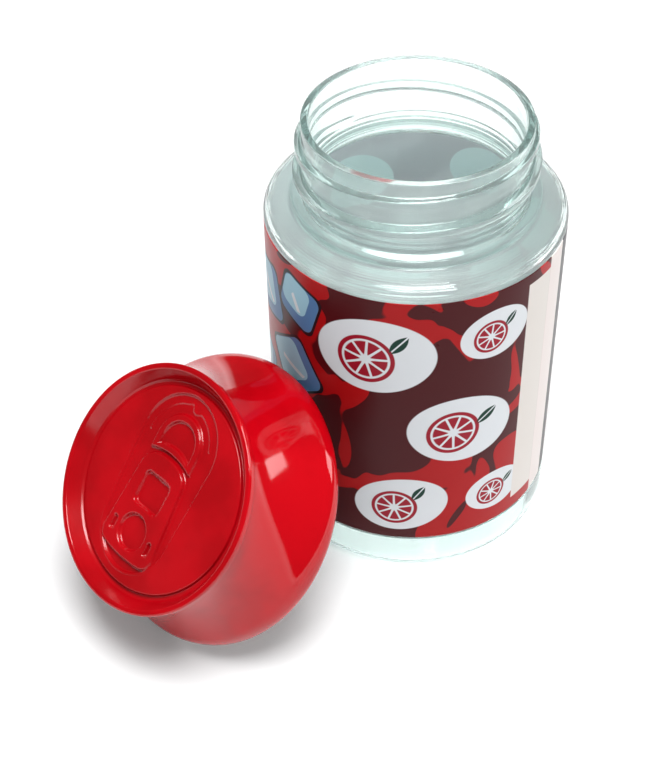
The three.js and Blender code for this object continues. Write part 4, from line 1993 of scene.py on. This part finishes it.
@dataclass(frozen=True)
class Studio:
    """Floor, lights, world and camera.

    Args:
        axis: X and Y of the jar's axis.
        focal_pixels: Focal length in pixels of the photograph.
        eye: The camera's place from the foot of the jar's axis.
        glow: Glow of the floor near the object.
        glow_through: Extra glow there of what is seen through the plastic.
        paper_start: Distance from the object where the floor starts to whiten.
        paper_end: Distance where it is white.
        mirrored_room: Brightness of the room as surfaces mirror it.
        backdrop_top: Height, as a share, where the white backdrop ends.
        backdrop_start: Share of the way back where it starts.
        backdrop_full: Share of the way back where it is full.
    """

    axis: Point
    focal_pixels: float = 1549.3
    image_height: float = 774.0
    sensor: float = 36.0
    clip_start: float = 10.0 * MM
    elevation: float = 42.848
    roll: float = -1.453
    eye: Corner = (-21.10 * MM, -272.61 * MM, 281.52 * MM)
    floor_size: float = 6.0
    floor_drop: float = 0.05 * MM
    paper: Color = srgb(246, 246, 246)
    paper_shade: Color = srgb(242, 242, 243)
    paper_scale: float = 40.0
    paper_detail: float = 3.0
    paper_roughness: float = 0.6
    paper_specular: float = 0.2
    glow: float = 0.12
    glow_through: float = 0.4
    paper_start: float = 0.2
    paper_end: float = 0.7
    room: float = 0.27
    mirrored_room: float = 0.07
    backdrop_top: float = 0.08
    backdrop_start: float = 0.8
    backdrop_full: float = 0.95
    softboxes: tuple[Softbox, ...] = (
        Softbox("top_light", -72.0, 78.0, 0.9, (0.44, 0.44), 9.0),
        Softbox("window_light", 8.0, 22.0, 0.9, (0.25, 0.36), 1.8),
    )

    def camera(self) -> None:
        """Places the camera where the photograph was taken from."""
        data = bpy.data.cameras.new("camera")
        data.sensor_width = self.sensor
        data.lens = self.focal_pixels * self.sensor / self.image_height
        data.clip_start = self.clip_start
        camera = bpy.data.objects.new("camera", data)
        bpy.context.collection.objects.link(camera)
        tilt, roll = math.radians(self.elevation), math.radians(self.roll)
        back = Vector((0, -math.cos(tilt), math.sin(tilt)))
        up = Vector((0, math.sin(tilt), math.cos(tilt)))
        right = Vector((1, 0, 0))
        image_right = right * math.cos(roll) + up * math.sin(roll)
        image_up = up * math.cos(roll) - right * math.sin(roll)
        turned = Matrix((image_right, image_up, back)).transposed().to_4x4()
        eye = Vector(self.eye) + Vector((*self.axis, 0))
        camera.matrix_world = Matrix.Translation(eye) @ turned
        bpy.context.scene.camera = camera

    def floor_glow(self, nodes: Nodes, place: Socket) -> Socket:
        """Strength of the floor's glow, which whitens it away from the object.

        Args:
            nodes: The nodes of the floor.
            place: Where the shaded point is.

        Returns:
            The strength, which is 0 for the light that the floor scatters on.
        """
        rays = nodes.add("ShaderNodeLightPath").outputs
        reach = nodes.add("ShaderNodeVectorMath", {0: place}, operation="LENGTH").outputs["Value"]
        far = nodes.step(reach, self.paper_start, self.paper_end)
        through = rays["Is Transmission Ray"]
        near = nodes.math("MULTIPLY_ADD", through, self.glow_through, self.glow)
        level = nodes.math("MULTIPLY_ADD", far, nodes.math("SUBTRACT", 1.0, near), near)
        shown = nodes.math("ADD", rays["Is Camera Ray"], rays["Is Glossy Ray"])
        seen = nodes.math("ADD", shown, through, clamp=True)
        return nodes.math("MULTIPLY", seen, level)

    def floor(self) -> None:
        """Lays the pale floor that takes the soft shadow."""
        bpy.ops.object.select_all(action="DESELECT")
        middle = (0, 0, -self.floor_drop)
        bpy.ops.mesh.primitive_plane_add(size=self.floor_size, location=middle)
        floor = bpy.context.active_object
        floor.name = "floor"
        material, nodes, shader = new_material("floor_paper")
        place = nodes.object_place()
        clouds = nodes.noise(place, self.paper_scale, self.paper_detail)
        paper = {
            "Base Color": nodes.mix(clouds, self.paper, self.paper_shade),
            "Roughness": self.paper_roughness,
            "Specular IOR Level": self.paper_specular,
        }
        nodes.feed(shader, paper)
        shine = {"Color": WHITE, "Strength": self.floor_glow(nodes, place)}
        glow = nodes.add("ShaderNodeEmission", shine).outputs[0]
        both = nodes.add("ShaderNodeAddShader", {0: shader.outputs[0], 1: glow}).outputs[0]
        nodes.feed(nodes.tree.nodes["Material Output"], {"Surface": both})
        floor.data.materials.append(material)

    def world(self) -> None:
        """Surrounds the scene with a soft grey room over a white backdrop."""
        world = bpy.data.worlds.new("studio")
        bpy.context.scene.world = world
        world.use_nodes = True
        nodes = Nodes(world.node_tree)
        rays = nodes.add("ShaderNodeLightPath").outputs
        glossy = rays["Is Glossy Ray"]
        direct = nodes.math("ADD", rays["Is Camera Ray"], rays["Is Transmission Ray"])
        way = nodes.add("ShaderNodeTexCoord").outputs["Generated"]
        split = nodes.add("ShaderNodeSeparateXYZ", {0: way}).outputs
        low = nodes.step(split[2], self.backdrop_top, 0.0)
        behind = nodes.step(split[1], self.backdrop_start, self.backdrop_full)
        mirrored = nodes.math("MULTIPLY", glossy, nodes.math("MULTIPLY", low, behind))
        white = nodes.math("ADD", direct, mirrored, clamp=True)
        dimmed = nodes.math("MULTIPLY", glossy, self.mirrored_room - self.room)
        room = nodes.math("ADD", dimmed, self.room)
        lift = nodes.math("MULTIPLY", white, nodes.math("SUBTRACT", 1.0, room))
        light = {"Color": WHITE, "Strength": nodes.math("ADD", room, lift)}
        nodes.feed(world.node_tree.nodes["Background"], light)

    def build(self) -> None:
        """Sets up the whole studio."""
        self.camera()
        self.floor()
        self.world()
        for softbox in self.softboxes:
            softbox.build()
        bpy.context.scene.view_settings.view_transform = "Standard"


def jar_axis() -> Point:
    """X and Y of the jar's axis, read from the frame."""
    low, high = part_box("jar_body")
    return (low[0] + high[0]) / 2, (low[1] + high[1]) / 2


def main() -> None:
    """Builds the studio and every piece in order."""
    logging.basicConfig(level=logging.INFO, format="%(name)s: %(message)s")
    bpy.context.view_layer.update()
    jar = Jar(jar_axis())
    Studio(jar.axis).build()
    place = Lean(jar).matrix(Cap(Matrix.Identity(4)))
    for maker in (jar, Label(jar), Cap(place), Liner(place)):
        piece = maker.build()
        log.info("%s: %d faces", piece.name, len(piece.data.polygons))


if __name__ == "__main__":
    main()
